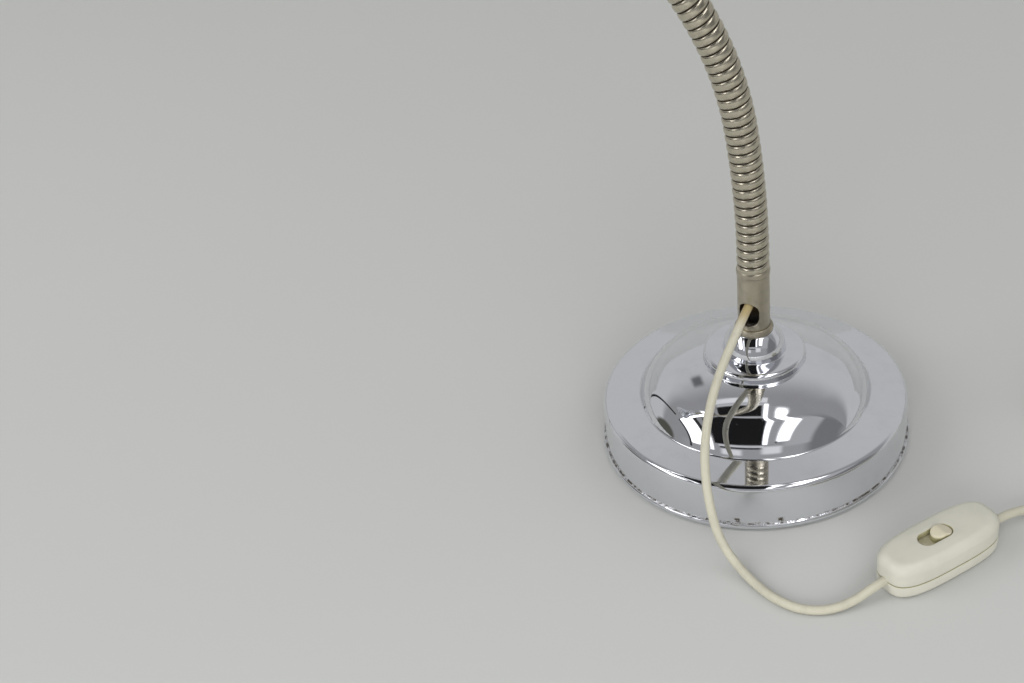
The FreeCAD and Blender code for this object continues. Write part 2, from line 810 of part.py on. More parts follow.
for side in (-1, 1):
    a, b = sorted((side * contact_inner, side * contact_outer))
    c, d = sorted((side * contact_inner, side * (contact_inner + contact_post)))
    half = contact_width / 2
    base = block(a, b, -half, half, switch_floor, switch_floor + contact_base_height)
    post = block(c, d, -half, half, switch_floor, post_top)
    contacts.append(placed(base.fuse(post), switch_place))
    a, b = sorted((side * clamp_inner, side * (clamp_inner + clamp_length)))
    clamp = block(a, b, -clamp_width / 2, clamp_width / 2, switch_floor, entry_height - cord_radius)
    clamps.append(placed(clamp, switch_place))
save("switch_contacts", *contacts)
save("switch_clamps", *clamps)

# Cord from the switch to the coil

coil_height = cord_radius + tie_thickness + tie_gap
coil_start = V(coil_x, coil_y, coil_height)
coil_way = V(math.cos(math.radians(coil_heading)), math.sin(math.radians(coil_heading)), 0)
run_route = [on_switch(cord_stop, entry_height), on_switch(cord_stop + cord_end_inset, entry_height),
             V(116.2, -68.2, 5.8), V(126.0, -62.0, 3.6), V(136.4, -58.4, 2.4), V(147.0, -56.2, 2.15),
             V(157.4, -53.6, 2.3)]
run_route.append(coil_start - coil_way * (2.5 * cord_diameter))
run_route.append(coil_start)
lengths["cord_run"] = cord_tube("cord_run", run_route)

# Put-away coil: loops spiral in and out again, and climb a layer in the half turn where they reverse

loop_step = cord_diameter + coil_gap
layer_step = cord_diameter + coil_layer_gap
layer_turns = coil_turns / coil_layers
coil_outer = coil_mean_radius + loop_step * layer_turns / 2
stub = cord_diameter
coil_centre = coil_start + coil_way * stub + V(coil_way.y, -coil_way.x, 0) * coil_outer
start_angle = math.radians(coil_heading + 90)


def loops_point(turn):
    """Line of the loops at a turn number: in and out by layer, climbing where the spiral turns back."""
    layer = min(int(turn / layer_turns), coil_layers - 1)
    along = turn / layer_turns - layer
    inward = along if layer % 2 == 0 else 1 - along
    radius = coil_outer - loop_step * layer_turns * inward
    level = 0.0
    for k in range(1, coil_layers):
        level += min(1.0, max(0.0, (turn - k * layer_turns) / climb_turns + 0.5))
    angle = start_angle - 2 * math.pi * turn
    return coil_centre + V(radius * math.cos(angle), radius * math.sin(angle), layer_step * level)


def loops_heading(turn):
    """Way along the loops at a turn number, level and square to the radius at both ends."""
    step = 0.002
    if turn < step or turn > coil_turns - step:
        angle = start_angle - 2 * math.pi * turn
        return V(math.sin(angle), -math.cos(angle), 0)
    return (loops_point(turn + step) - loops_point(turn - step)).normalize()


breaks = [0.0]
for k in range(1, coil_layers):
    breaks += [k * layer_turns - climb_turns / 2, k * layer_turns + climb_turns / 2]
breaks.append(coil_turns)
edges = [Part.LineSegment(coil_start, coil_start + coil_way * stub).toShape()]
for a, b in zip(breaks[:-1], breaks[1:]):
    steps = math.ceil((b - a) / 0.25 - 1e-6)
    for i in range(steps):
        u, w = a + (b - a) * i / steps, a + (b - a) * (i + 1) / steps
        edges += biarc(loops_point(u), loops_heading(u), loops_point(w), loops_heading(w))
coil_end = loops_point(coil_turns)
end_way = loops_heading(coil_turns)
edges.append(Part.LineSegment(coil_end, coil_end + end_way * stub).toShape())
save("cord_coil", tube_along(edges, cord_radius, coil_start, coil_way))
lengths["cord_coil"] = sum(edge.Length for edge in edges)
print("cord_coil length", round(lengths["cord_coil"], 1), "outer radius", round(coil_outer, 2),
      "least gap", round(least_gap(loops_point, 0, coil_turns, cord_radius), 3))
print("cord_coil start", coil_start, "centre", coil_centre, "end", coil_end, end_way)

coil_inner = coil_outer - loop_step * layer_turns
tie_low = tie_thickness
coil_top = coil_height + layer_step * (coil_layers - 1) + cord_radius
tie_near = coil_inner - cord_radius - tie_gap
tie_far = coil_outer + cord_radius + tie_gap
tie = block(tie_near - tie_thickness, tie_far + tie_thickness, -tie_width / 2, tie_width / 2, 0,
            coil_top + tie_gap + tie_thickness)
tie = tie.cut(block(tie_near, tie_far, -tie_width, tie_width, tie_low, coil_top + tie_gap))
tie_place = FreeCAD.Placement(V(coil_centre.x, coil_centre.y, 0), FreeCAD.Rotation(UP, tie_turn))
save("cord_tie", placed(tie, tie_place))

# Cord from the coil to the plug, and the plug

tail_start = coil_end + end_way * stub
plug_level = plug_thickness / 2
tail_route = [tail_start, tail_start + end_way * (2.2 * cord_diameter), V(160.2, -51.2, 13.8),
              V(159.6, -41.4, 9.6), V(159.2, -32.6, 6.9), V(159.1, -24.0, plug_level)]
plug_entry = tail_route[-1]
lengths["cord_tail"] = cord_tube("cord_tail", tail_route)
plug_way = tail_route[-1] - tail_route[-2]
plug_turn = math.degrees(math.atan2(plug_way.y, plug_way.x))
plug_place = FreeCAD.Placement(plug_entry, FreeCAD.Rotation(UP, plug_turn))
relief = Part.makeCone(relief_tip_radius, relief_foot_radius, relief_length + plug_edge, V(0, 0, 0), FORWARD)
shoulder = relief_length + plug_length * plug_shoulder_share
plug_end = relief_length + plug_length
plan = [(relief_length, -plug_back_width / 2), (shoulder, -plug_width / 2), (plug_end, -plug_width / 2),
        (plug_end, plug_width / 2), (shoulder, plug_width / 2), (relief_length, plug_back_width / 2)]
corners = [V(x, y, -plug_thickness / 2) for x, y in plan]
plug_body = Part.Face(Part.makePolygon(corners + [corners[0]])).extrude(V(0, 0, plug_thickness))
plug_body = plug_body.makeFillet(plug_edge, plug_body.Edges).fuse(relief)
pins = []
for side in (-1, 1):
    y = side * pin_spacing / 2
    seat = V(plug_end - pin_seat, y, 0)
    pin = Part.makeCylinder(pin_radius, pin_seat + pin_length - pin_radius, seat, FORWARD)
    pin = pin.fuse(Part.makeSphere(pin_radius, V(plug_end + pin_length - pin_radius, y, 0)))
    pins.append(placed(pin, plug_place))
    plug_body = plug_body.cut(Part.makeCylinder(pin_radius, 2 * pin_seat, seat, FORWARD))
save("plug_body", placed(plug_body, plug_place))
save("plug_pins", *pins)

print("cord lengths", {name: round(length, 1) for name, length in lengths.items()}, "total with the switch",
      round(sum(lengths.values()) + 2 * cord_stop, 1))
print("arm end", [round(c, 2) for c in head_point], "lean", round(math.degrees(head_lean), 2))

os.makedirs("parts", exist_ok=True)
for name, shape in made.items():
    shape.exportStep("parts/%s.step" % name)
print("nodes", len(made))
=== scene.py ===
import math
import bmesh
import bpy
import numpy as np
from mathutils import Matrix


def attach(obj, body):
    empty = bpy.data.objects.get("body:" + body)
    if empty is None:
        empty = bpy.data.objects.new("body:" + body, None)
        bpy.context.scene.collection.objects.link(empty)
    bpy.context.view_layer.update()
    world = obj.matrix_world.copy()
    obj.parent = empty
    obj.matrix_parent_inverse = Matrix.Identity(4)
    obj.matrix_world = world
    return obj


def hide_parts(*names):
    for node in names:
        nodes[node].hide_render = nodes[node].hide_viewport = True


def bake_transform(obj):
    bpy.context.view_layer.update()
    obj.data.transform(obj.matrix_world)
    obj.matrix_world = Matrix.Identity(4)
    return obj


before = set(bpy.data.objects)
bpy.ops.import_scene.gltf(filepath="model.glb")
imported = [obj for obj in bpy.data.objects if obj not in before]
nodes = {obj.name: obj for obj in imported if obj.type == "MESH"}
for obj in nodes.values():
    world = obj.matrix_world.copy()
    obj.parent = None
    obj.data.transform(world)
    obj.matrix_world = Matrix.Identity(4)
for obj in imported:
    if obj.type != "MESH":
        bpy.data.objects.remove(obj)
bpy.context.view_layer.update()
MM = 0.001

# Camera. It looks down on the lamp with a long lens, and the lamp stands right
# of the picture's middle: partly by lens shift, partly by a small turn left.

picture_width = 1024
lamp_column = 796.5
shift_columns = 164.0
focal_columns = 1797.0
camera_place = (20.0, -694.07, 552.89)
camera_down = math.radians(35.73)

camera_data = bpy.data.cameras.new("camera")
camera_data.sensor_width = 36.0
camera_data.lens = focal_columns / picture_width * camera_data.sensor_width
camera_data.shift_x = -shift_columns / picture_width
camera_data.clip_start, camera_data.clip_end = 0.05, 30.0
camera = bpy.data.objects.new("camera", camera_data)
bpy.context.scene.collection.objects.link(camera)
bpy.context.scene.camera = camera
bpy.context.scene.view_settings.view_transform = "Standard"


def turn_about(axis, angle):
    """4 x 4 matrix of a right-handed turn by angle about axis 0, 1 or 2."""
    i, j = (axis + 1) % 3, (axis + 2) % 3
    matrix = np.eye(4)
    matrix[[i, j], [i, j]] = math.cos(angle)
    matrix[i, j], matrix[j, i] = -math.sin(angle), math.sin(angle)
    return matrix


turned_left = math.atan((lamp_column - picture_width / 2 - shift_columns) / focal_columns)
camera_matrix = turn_about(0, math.pi / 2 - camera_down) @ turn_about(1, turned_left)
camera_matrix[:3, 3] = np.array(camera_place) * MM
camera.matrix_world = [list(row) for row in camera_matrix.T]


# Base shell. Pressed sheet steel in steps, polished and chromed, its lower edge
# rolled into a bead. The chrome has a faint haze, pits, and rust in the groove
# over the bead.

class Value:
    """A number that varies over a surface. A sum or product on it adds Math nodes."""

    def __init__(self, finish, socket):
        self.finish, self.socket = finish, socket

    def math(self, operation, *values):
        return self.finish.node("ShaderNodeMath", {"operation": operation}, dict(enumerate(values)))

    def __add__(self, other):
        return self.math("ADD", self, other)

    def __sub__(self, other):
        return self.math("SUBTRACT", self, other)

    def __rsub__(self, other):
        return self.math("SUBTRACT", other, self)

    def __mul__(self, other):
        return self.math("MULTIPLY", self, other)

    __radd__ = __add__
    __rmul__ = __mul__

    def apart(self, other):
        """How far from other, without sign."""
        return self.math("ABSOLUTE", self - other)

    def larger(self, other):
        return self.math("MAXIMUM", self, other)

    def rise(self, low, high):
        """0 below low, 1 above high, smooth between."""
        return self.finish.node("ShaderNodeMapRange", {"interpolation_type": "SMOOTHSTEP"},
                                {"Value": self, "From Min": low, "From Max": high})

    def fall(self, low, high):
        """1 below low, 0 above high, smooth between."""
        return 1 - self.rise(low, high)

    def within(self, low, high, edge):
        """1 between low and high, with a soft edge outside each."""
        return self.rise(low - edge, low) * self.fall(high, high + edge)


class Finish:
    """A node tree and its maths, for a material or for the room."""

    def __init__(self, name, room=False):
        self.owner = (bpy.data.worlds if room else bpy.data.materials).new(name)
        self.owner.use_nodes = True
        self.tree = self.owner.node_tree
        self.shader = self.tree.nodes.get("Principled BSDF") or self.tree.nodes["Background"]

    def node(self, kind, settings, sockets, output=0):
        """Adds a node: its settings first, then the values or links of its sockets."""
        made = self.tree.nodes.new(kind)
        for name, value in settings.items():
            setattr(made, name, value)
        for name, value in sockets.items():
            self.feed(made.inputs[name], value)
        return Value(self, made.outputs[output])

    def feed(self, socket, value):
        if isinstance(value, Value):
            self.tree.links.new(value.socket, socket)
        elif socket.type == "RGBA":
            socket.default_value = (*value[:3], 1.0)
        else:
            socket.default_value = value

    def surface(self, **sockets):
        """Feeds the main shader. An underscore in a name stands for a space."""
        for name, value in sockets.items():
            self.feed(self.shader.inputs[name.replace("_", " ")], value)
        return self.owner

    def place(self, kind="Object"):
        return self.node("ShaderNodeTexCoord", {}, {}, kind)

    def kept(self, name, output="Fac"):
        """A value that the mesh keeps at each point."""
        return self.node("ShaderNodeAttribute", {"attribute_name": name}, {}, output)

    def split(self, vector):
        first = self.node("ShaderNodeSeparateXYZ", {}, {0: vector})
        return [Value(self, output) for output in first.socket.node.outputs]

    def stretched(self, vector, x=1.0, y=1.0, z=1.0):
        return self.node("ShaderNodeMapping", {}, {"Vector": vector, "Scale": (x, y, z)})

    def noise(self, vector, scale, detail=2.0, roughness=0.5):
        return self.node("ShaderNodeTexNoise", {}, {"Vector": vector, "Scale": scale, "Detail": detail,
                                                    "Roughness": roughness})

    def cells(self, vector, scale):
        return self.node("ShaderNodeTexVoronoi", {}, {"Vector": vector, "Scale": scale})

    def mix(self, share, first, second):
        """Colour first where share is 0, second where it is 1."""
        return self.node("ShaderNodeMix", {"data_type": "RGBA"}, {0: share, 6: first, 7: second}, 2)

    def bump(self, height, distance):
        return self.node("ShaderNodeBump", {}, {"Height": height, "Distance": distance})


def shades(colour, *factors):
    """The colour times each factor."""
    return [tuple(channel * factor for channel in colour) for factor in factors]


class Piece:
    """Grids of points in millimetres that make one mesh, in metres. A grid has rows and columns."""

    def __init__(self):
        self.points, self.faces, self.parts, self.depths = [], [], [], []
        self.count = 0

    def add(self, grid, ring_rows=False, ring_columns=True, part=0, capped=False, depth=0.0):
        """Adds quads over a grid, closed round its rows or columns. capped closes the end rows with fans."""
        rows, columns = grid.shape[:2]
        i = np.arange(rows if ring_rows else rows - 1)[:, None]
        j = np.arange(columns if ring_columns else columns - 1)[None, :]
        k, m = (i + 1) % rows * columns, (j + 1) % columns
        quads = np.stack(np.broadcast_arrays(i * columns + j, i * columns + m, k + m, k + j), -1)
        self.faces += (quads.reshape(-1, 4) + self.count).tolist()
        self.parts += [part] * (len(i) * j.shape[1])
        self.points.append(grid.reshape(-1, 3))
        depths = np.broadcast_to(depth, (rows, columns))
        self.depths.append(depths.ravel())
        first = self.count
        self.count += rows * columns
        for row in (0, rows - 1) if capped else ():
            ring = first + row * columns + np.arange(columns)
            fan = np.stack([np.full(columns, self.count), ring, np.roll(ring, -1)], -1)
            self.faces += fan.tolist()
            self.parts += [part] * columns
            self.points.append(grid[row].mean(0)[None, :])
            self.depths.append(depths[row, :1])
            self.count += 1
        return self

    def make(self, name, finishes, slot, crease=35.0):
        """The finished object: doubles merged, faces outwards, edges over crease degrees kept sharp."""
        mesh = bpy.data.meshes.new(name)
        mesh.from_pydata((np.concatenate(self.points) * MM).tolist(), [], self.faces)
        mesh.polygons.foreach_set("material_index", self.parts)
        for finish in finishes:
            mesh.materials.append(finish)
        depth = mesh.attributes.new("depth", "FLOAT", "POINT")
        depth.data.foreach_set("value", np.concatenate(self.depths).astype(np.float32))
        work = bmesh.new()
        work.from_mesh(mesh)
        bmesh.ops.remove_doubles(work, verts=work.verts, dist=2e-6)
        bmesh.ops.dissolve_degenerate(work, edges=work.edges, dist=1e-6)
        bmesh.ops.recalc_face_normals(work, faces=work.faces)
        work.to_mesh(mesh)
        work.free()
        mesh.shade_smooth()
        mesh.set_sharp_from_angle(angle=math.radians(crease))
        made = bpy.data.objects.new(name, mesh)
        bpy.context.scene.collection.objects.link(made)
        return made


def arc(centre, radius, start, end, count):
    """Points on a circle about centre, from start to end in degrees."""
    angle = np.radians(np.linspace(start, end, count))
    return np.stack([centre[0] + radius * np.cos(angle), centre[1] + radius * np.sin(angle)], -1)


def bowed(first, last, rise, count=24):
    """Round stretch from first to last that stands rise to the right of the straight line.
    Its half angle is twice the arctangent of 2 rise / length."""
    first, along = np.array(first, float), np.subtract(last, first)
    length = math.hypot(*along)
    along = along / length
    half = 2 * math.atan(2 * rise / length)
    angle = np.linspace(-half, half, count)[:, None]
    radius = length / 2 / math.sin(half)
    side = np.array([along[1], -along[0]])
    forward = length / 2 + radius * np.sin(angle)
    return first + along * forward + side * radius * (np.cos(angle) - math.cos(half))


def softened(outline, step, ease):
    """The outline resampled every step, each point the mean of those within ease along it,
    which rounds its corners. The mean narrows to nothing at the two ends."""
    outline = np.asarray(outline, float)
    run = np.r_[0, np.cumsum(np.hypot(*np.diff(outline, axis=0).T))]
    fine = np.linspace(0, run[-1], int(run[-1] / step) + 2)
    reach = np.minimum(ease, np.minimum(fine, run[-1] - fine))
    at = fine + np.linspace(-1, 1, 9)[:, None] * reach
    return np.stack([np.interp(at, run, outline[:, k]).mean(0) for k in (0, 1)], -1)


def points(x, y, z):
    """Points from three arrays of coordinates, or of values that spread to the same grid."""
    return np.stack(np.broadcast_arrays(x, y, z), -1)


def lathe(outline, columns, place=None):
    """Outline of (r, z) points turned about Z: a row for each point, columns round the turn."""
    angle = np.linspace(0, 2 * math.pi, columns, endpoint=False)
    r, z = np.asarray(outline, float).T[:, :, None]
    grid = points(r * np.cos(angle), r * np.sin(angle), z)
    return grid if place is None else place(grid)


base_radius, bead_radius, bead_lift, base_columns = 75.0, 1.8, 0.4, 192
wall_radius, edge_roll, plate_height, shell_wall = 73.6, 2.6, 24.8, 0.9
plate_rise, dome_foot_radius, dome_bulge = 1.8, 55.8, 1.9
crease_radius, crease_height, shoulder_bulge = 42.2, 40.4, 0.5
disc_foot_height, disc_radius, disc_roll, disc_height = 45.8, 24.4, 1.9, 50.6
cap_foot_radius, cap_top_radius, cap_height, cap_bulge = 15.0, 9.4, 62.0, 1.5
stem_bore_radius = 5.1
chrome_light, chrome_hazed = shades((0.79, 0.80, 0.84), 1.0, 0.94)
rust_brown = (0.050, 0.042, 0.028)
rust_turns = (-95.6, -79.9)  # degrees


def shell_profile(inset):
    """The shell's profile from the edge roll up to the neck's seat, moved in by inset."""
    roll_centre = (wall_radius - edge_roll, plate_height - edge_roll)
    disc_centre = (disc_radius - disc_roll, disc_height - disc_roll)
    dome_foot = (dome_foot_radius - inset, plate_height + plate_rise - inset)
    crease = (crease_radius - inset, crease_height - inset)
    disc_foot = (disc_radius - inset, disc_foot_height - inset)
    cap_foot = (cap_foot_radius - inset, disc_height - inset)
    return np.concatenate([
        arc(roll_centre, edge_roll - inset, 0, 90, 16), bowed(dome_foot, crease, dome_bulge),
        bowed(crease, disc_foot, shoulder_bulge), arc(disc_centre, disc_roll - inset, 0, 90, 12),
        bowed(cap_foot, (cap_top_radius - inset, cap_height - inset), cap_bulge)])


bead_centre = (base_radius - bead_radius, bead_lift + bead_radius)
bead_meets = math.degrees(math.acos((wall_radius - bead_centre[0]) / bead_radius))
groove_height = bead_centre[1] + bead_radius * math.sin(math.radians(bead_meets))
shell_outside = np.concatenate([
    [(wall_radius - shell_wall, bead_lift)], arc(bead_centre, bead_radius, -90, bead_meets, 20),
    shell_profile(0), [(stem_bore_radius, cap_height)]])
shell_rows = np.concatenate([softened(shell_outside, 0.32, 0.5), shell_profile(shell_wall)[::-1]])

chrome = Finish("chromed_steel")
spot = chrome.place()
x, y, z = chrome.split(spot)
haze = chrome.noise(spot, 62.0, 4.0, 0.62).rise(0.42, 0.78)
around = y.math("ARCTAN2", y, x)
groove = z.apart(groove_height * MM).fall(0.0002, 0.0008)
specks = chrome.noise(spot, 330.0, 3.0, 0.6).rise(0.32, 0.62) * groove
for turn in rust_turns:
    patch = around.apart(math.radians(turn)).fall(0.010, 0.030) * z.within(0.0046, 0.0062, 0.0010)
    specks = specks.larger(patch * chrome.noise(spot, 900.0, 2.0).rise(0.28, 0.50))
pits = chrome.cells(spot, 300.0).fall(0.05, 0.13) * chrome.noise(spot, 90.0).rise(0.55, 0.66)
swell = chrome.noise(spot, 26.0, 1.0)
chrome_finish = chrome.surface(
    Base_Color=chrome.mix(specks, chrome.mix(haze, chrome_light, chrome_hazed), rust_brown),
    Metallic=1 - specks * 0.95,
    Roughness=0.035 + haze * 0.05 + pits * 0.2 + specks * 0.7,
    Normal=chrome.bump(swell - pits * 0.1 + specks * 0.4, 0.00016))

base_shell = Piece().add(lathe(shell_rows, base_columns), ring_rows=True)
base_shell = base_shell.make("base_shell_chromed", [chrome_finish], "chromed_steel", 50.0)
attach(base_shell, "base")
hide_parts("base_shell")

# Under the base and inside it: a felt pad on a zinc-plated closing plate with
# three screws, the cast iron weight, and the threaded tube, washer and nut that
# clamp neck, shell and weight together. All are solids of the frame.


def dress(finish, *names):
    """Gives frame solids a finish."""
    for name in names:
        for holder in nodes[name].material_slots:
            holder.material = finish


felt = Finish("foot_felt")
spot = felt.place()
hairs = felt.noise(felt.stretched(spot, 1.0, 1.0, 0.3), 2600.0, 4.0, 0.7)
mottle = felt.noise(spot, 120.0, 3.0)
felt_grey, felt_dark = shades((0.030, 0.033, 0.031), 1.0, 0.55)
felt_finish = felt.surface(
    Base_Color=felt.mix(hairs.rise(0.35, 0.65) * 0.6 + mottle * 0.4, felt_dark, felt_grey),
    Roughness=0.96, Normal=felt.bump(hairs, 0.0004))
dress(felt_finish, "foot_pad")

zinc = Finish("plated_steel")
spot = zinc.place()
spangle = zinc.cells(spot, 190.0)
stain = zinc.noise(spot, 80.0, 4.0)
zinc_light, zinc_dull = shades((0.62, 0.62, 0.60), 1.0, 0.80)
zinc_finish = zinc.surface(
    Base_Color=zinc.mix(stain, zinc_light, zinc_dull), Metallic=1.0, Roughness=0.28 + spangle * 0.25,
    Normal=zinc.bump(zinc.noise(spot, 1400.0, 2.0), 0.00002))
dress(zinc_finish, "closing_plate", "closing_screws", "clamp_stem", "clamp_washer", "clamp_nut",
      "neck_plug", "neck_spigot", "switch_screws")

casting = Finish("cast_weight")
spot = casting.place()
sand = casting.noise(spot, 700.0, 5.0, 0.65)
casting_grey, casting_rust = (0.045, 0.044, 0.043), (0.09, 0.055, 0.035)
casting_finish = casting.surface(
    Base_Color=casting.mix(casting.noise(spot, 60.0, 4.0).rise(0.5, 0.8), casting_grey, casting_rust),
    Metallic=0.5, Roughness=0.55 + sand * 0.3, Normal=casting.bump(sand, 0.0003))
dress(casting_finish, "base_weight")

# Neck. A tube of satin nickel with an oblong hole for the cord, its edge turned
# out a little, on a thin seat collar, closed by a ring under the gooseneck.

tube_radius, tube_bore = 7.65, 6.65
tube_low, tube_high = 62.0, 93.2
hole_half_width, hole_half_straight, hole_middle, hole_turn = 4.8, 1.6, 73.6, -110.0
lip_rows = (  # share of the hole's size, radius
    (1.0, tube_bore), (1.0, 7.2), (1.012, 7.55), (1.045, 7.76), (1.09, 7.74), (1.13, 7.67))
seat_gap = 0.02
collar_radius, collar_rim, collar_top, collar_slope = 9.2, 63.3, 64.8, 0.75
ring_radius, ring_bore, ring_seat, ring_top, ring_edge, ring_chamfer = 7.95, 4.2, 5.0, 96.4, 0.35, 0.6
nickel_satin, nickel_rubbed = shades((0.52, 0.475, 0.375), 1.0, 0.84)
# brown of the painted shade in the neck's bore, also used for darker patches low down
nickel_shade_brown = (0.060, 0.042, 0.022)


def slot_edge(u, v, half_width, half_straight):
    """Where rays (u, v) from a slot's middle meet its outline. The slot is long along v, with round ends."""
    size = np.hypot(u, v)
    u, v = u / size, v / size
    side = half_width / np.maximum(np.abs(u), 1e-9)
    end = half_straight * np.abs(v) + np.sqrt(np.maximum(half_width ** 2 - (half_straight * u) ** 2, 0))
    reach = np.where(side * np.abs(v) <= half_straight, side, end)
    return u * reach, v * reach


def on_tube(radius, angle, height):
    """Points at an angle in degrees from the hole's middle, on a tube of that radius."""
    turn = np.radians(hole_turn + np.asarray(angle))
    return points(radius * np.cos(turn), radius * np.sin(turn), height)


across, upward = np.linspace(-90, 90, 33), np.linspace(tube_low, tube_high, 25)
panel_angle = np.concatenate([across[:-1], np.full(24, 90.0), across[:0:-1], np.full(24, -90.0)])
panel_height = np.concatenate([np.full(32, tube_low), upward[:-1], np.full(32, tube_high), upward[:0:-1]])
hole_x, hole_z = slot_edge(tube_radius * np.radians(panel_angle), panel_height - hole_middle,
                           hole_half_width, hole_half_straight)


def panel(radius, shares):
    """The tube's front half round the hole: rows from the hole's edge, 0, to the half's frame, 1."""
    shares = np.asarray(shares)[:, None]
    edge = np.degrees(np.arcsin(hole_x / radius))
    height = hole_z + hole_middle
    return on_tube(radius, edge + (panel_angle - edge) * shares, height + (panel_height - height) * shares)


lip = np.stack([
    on_tube(radius, np.degrees(np.arcsin(hole_x * spread / radius)), hole_middle + hole_z * spread)
    for spread, radius in lip_rows])
front = np.concatenate([lip, panel(tube_radius, np.linspace(0.2, 1.0, 14))])
behind = np.linspace(90, 270, 33)
whole_turn = np.concatenate([across, behind[1:-1]])
neck = Piece().add(front)
neck.add(panel(tube_bore, np.linspace(0, 1, 6)))
for radius in (tube_radius, tube_bore):
    neck.add(on_tube(radius, behind[None, :], upward[:, None]), ring_columns=False)
for height in (tube_low, tube_high):
    neck.add(np.stack([on_tube(radius, whole_turn, height) for radius in (tube_radius, tube_bore)]))


def satin_nickel(name, inside):
    """Satin nickel with upright rub marks, duller and darker in patches low down, and brown with painted
    shade where it lies closer to the axis than inside, as in the bore seen through the hole."""
    nickel = Finish(name)
    spot = nickel.place()
    x, y, z = nickel.split(spot)
    radius = x.math("SQRT", x * x + y * y)
    rub = nickel.noise(nickel.stretched(spot, 1.0, 1.0, 0.05), 1500.0, 3.0, 0.6)
    patch = nickel.noise(spot, 190.0, 3.0)
    # Painted brown shade in the bore, closer to the axis than inside; low down the nickel is also darker in
    # patches.
    foot = z.fall(0.0625, 0.0680) * 0.45
    shade_and_dark_patches = radius.fall((inside - 0.25) * MM, (inside + 0.05) * MM).larger(foot * patch.rise(0.3, 0.6))
    tone = nickel.mix(patch.rise(0.35, 0.7), nickel_satin, nickel_rubbed)
    return nickel.surface(Base_Color=nickel.mix(shade_and_dark_patches, tone, nickel_shade_brown), Metallic=1 - shade_and_dark_patches * 0.6,
                          Roughness=0.25 + rub * 0.14 + shade_and_dark_patches * 0.35, Normal=nickel.bump(rub, 0.00002))


tube_finish = satin_nickel("nickel_tube", tube_radius - 0.45)
neck = neck.make("neck_tube_nickel", [tube_finish], "nickel_tube", 40.0)
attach(neck, "base")
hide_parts("neck_tube")

collar_outline = softened([
    (tube_radius + seat_gap, tube_low), (collar_radius, tube_low), (collar_radius, collar_rim),
    (collar_radius - collar_slope, collar_top), (tube_radius + seat_gap, collar_top)], 0.12, 0.35)
collar = Piece().add(lathe(collar_outline, 96), ring_rows=True)
collar = collar.make("neck_collar_nickel", [tube_finish], "nickel_tube")
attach(collar, "base")
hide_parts("neck_collar")

ring_outline = softened([
    (ring_seat, tube_high + seat_gap), (ring_radius - ring_edge, tube_high + seat_gap),
    (ring_radius, tube_high + ring_edge),
    (ring_radius, ring_top - ring_chamfer), (ring_radius - ring_chamfer, ring_top), (ring_bore, ring_top),
    (ring_bore, tube_high + seat_gap)], 0.12, 0.22)
top_ring = Piece().add(lathe(ring_outline, 96), ring_rows=True)
top_ring = top_ring.make("neck_top_ring_nickel", [satin_nickel("nickel_ring", -1.0)], "nickel_tube")
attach(top_ring, "base")
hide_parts("neck_top_ring")

# Gooseneck. One wire of half-round section, wound close, over a sleeve in the
# dark of the painted groove shade. Painted shade darkens the grooves between turns.
# It is made in lengths that each span one hinge, from the middle of a
# link to the middle of the next.

arm_start = 98.4
arm_runs = (  # length, and radius of the bend or 0 where it is straight
    (4.0, 0.0), (66.0, 500.0), (63.6, 170.0), (134.0, 0.0), (142.4, 85.0), (None, 0.0))
link_length, link_count = 20.7, 21
turns_per_link = 4.5
arm_length = link_length * link_count
coil_pitch = link_length / turns_per_link
wire_half_width, wire_crown, wire_power = 2.2, 0.85, 3.4
wire_back, core_radius, core_reach = 5.7, 5.75, 1.6
hidden_turns = 0.7
sections_per_turn = 52
blend_inset = 2.4
wire_nickel, wire_worn = shades((0.585, 0.54, 0.43), 1.0, 0.88)
# very dark brown of the painted shade in the grooves between turns, also the sleeve's colour
wire_groove_shade = (0.030, 0.020, 0.011)


def arm_line(s):
    """The arm's centre line s along it: x, z and heading left of upright. A round stretch turns the
    heading by length over radius."""
    s = np.asarray(s, float)
    x, z, lean = 0 * s, arm_start + 0 * s, 0 * s
    for length, radius in arm_runs:
        part = s if length is None else np.minimum(s, length)
        if radius:
            turn = part / radius
            x = x + radius * (np.cos(lean + turn) - np.cos(lean))
            z = z + radius * (np.sin(lean + turn) - np.sin(lean))
            lean = lean + turn
        else:
            x, z = x - np.sin(lean) * part, z + np.cos(lean) * part
        s = s - part
    return x, z, lean


def round_arm(s, angle, radius):
    """Points at an angle round the arm's line and a distance from it."""
    x, z, lean = arm_line(s)
    side = radius * np.cos(angle)
    return points(x + side * np.cos(lean), radius * np.sin(angle), z + side * np.sin(lean))


crown = np.linspace(-1, 1, 13)
section_along = np.concatenate([crown, [1.0, -1.0]]) * wire_half_width
crown_radius = tube_radius - wire_crown * np.abs(crown) ** wire_power
section_radius = np.concatenate([crown_radius, [wire_back, wire_back]])
section_depth = np.concatenate([np.abs(crown) ** 2, [1.0, 1.0]])

wire = Finish("nickel_wire")
rest = wire.kept("rest", "Vector")
depth = wire.kept("depth")
wear = wire.noise(rest, 420.0, 3.0)
fine = wire.noise(rest, 2600.0, 2.0)
# Painted shade in the grooves between turns and on the wire's back, where the mesh's depth is high, its edge
# made uneven by the wear noise.
groove_shade = (depth + (wear - 0.5) * 0.35).rise(0.62, 0.96)
wire_finish = wire.surface(
    Base_Color=wire.mix(groove_shade, wire.mix(wear.rise(0.35, 0.7), wire_nickel, wire_worn), wire_groove_shade),
    Metallic=1 - groove_shade * 0.5, Roughness=0.17 + wear * 0.12 + groove_shade * 0.4,
    Normal=wire.bump(fine + wear, 0.00002))
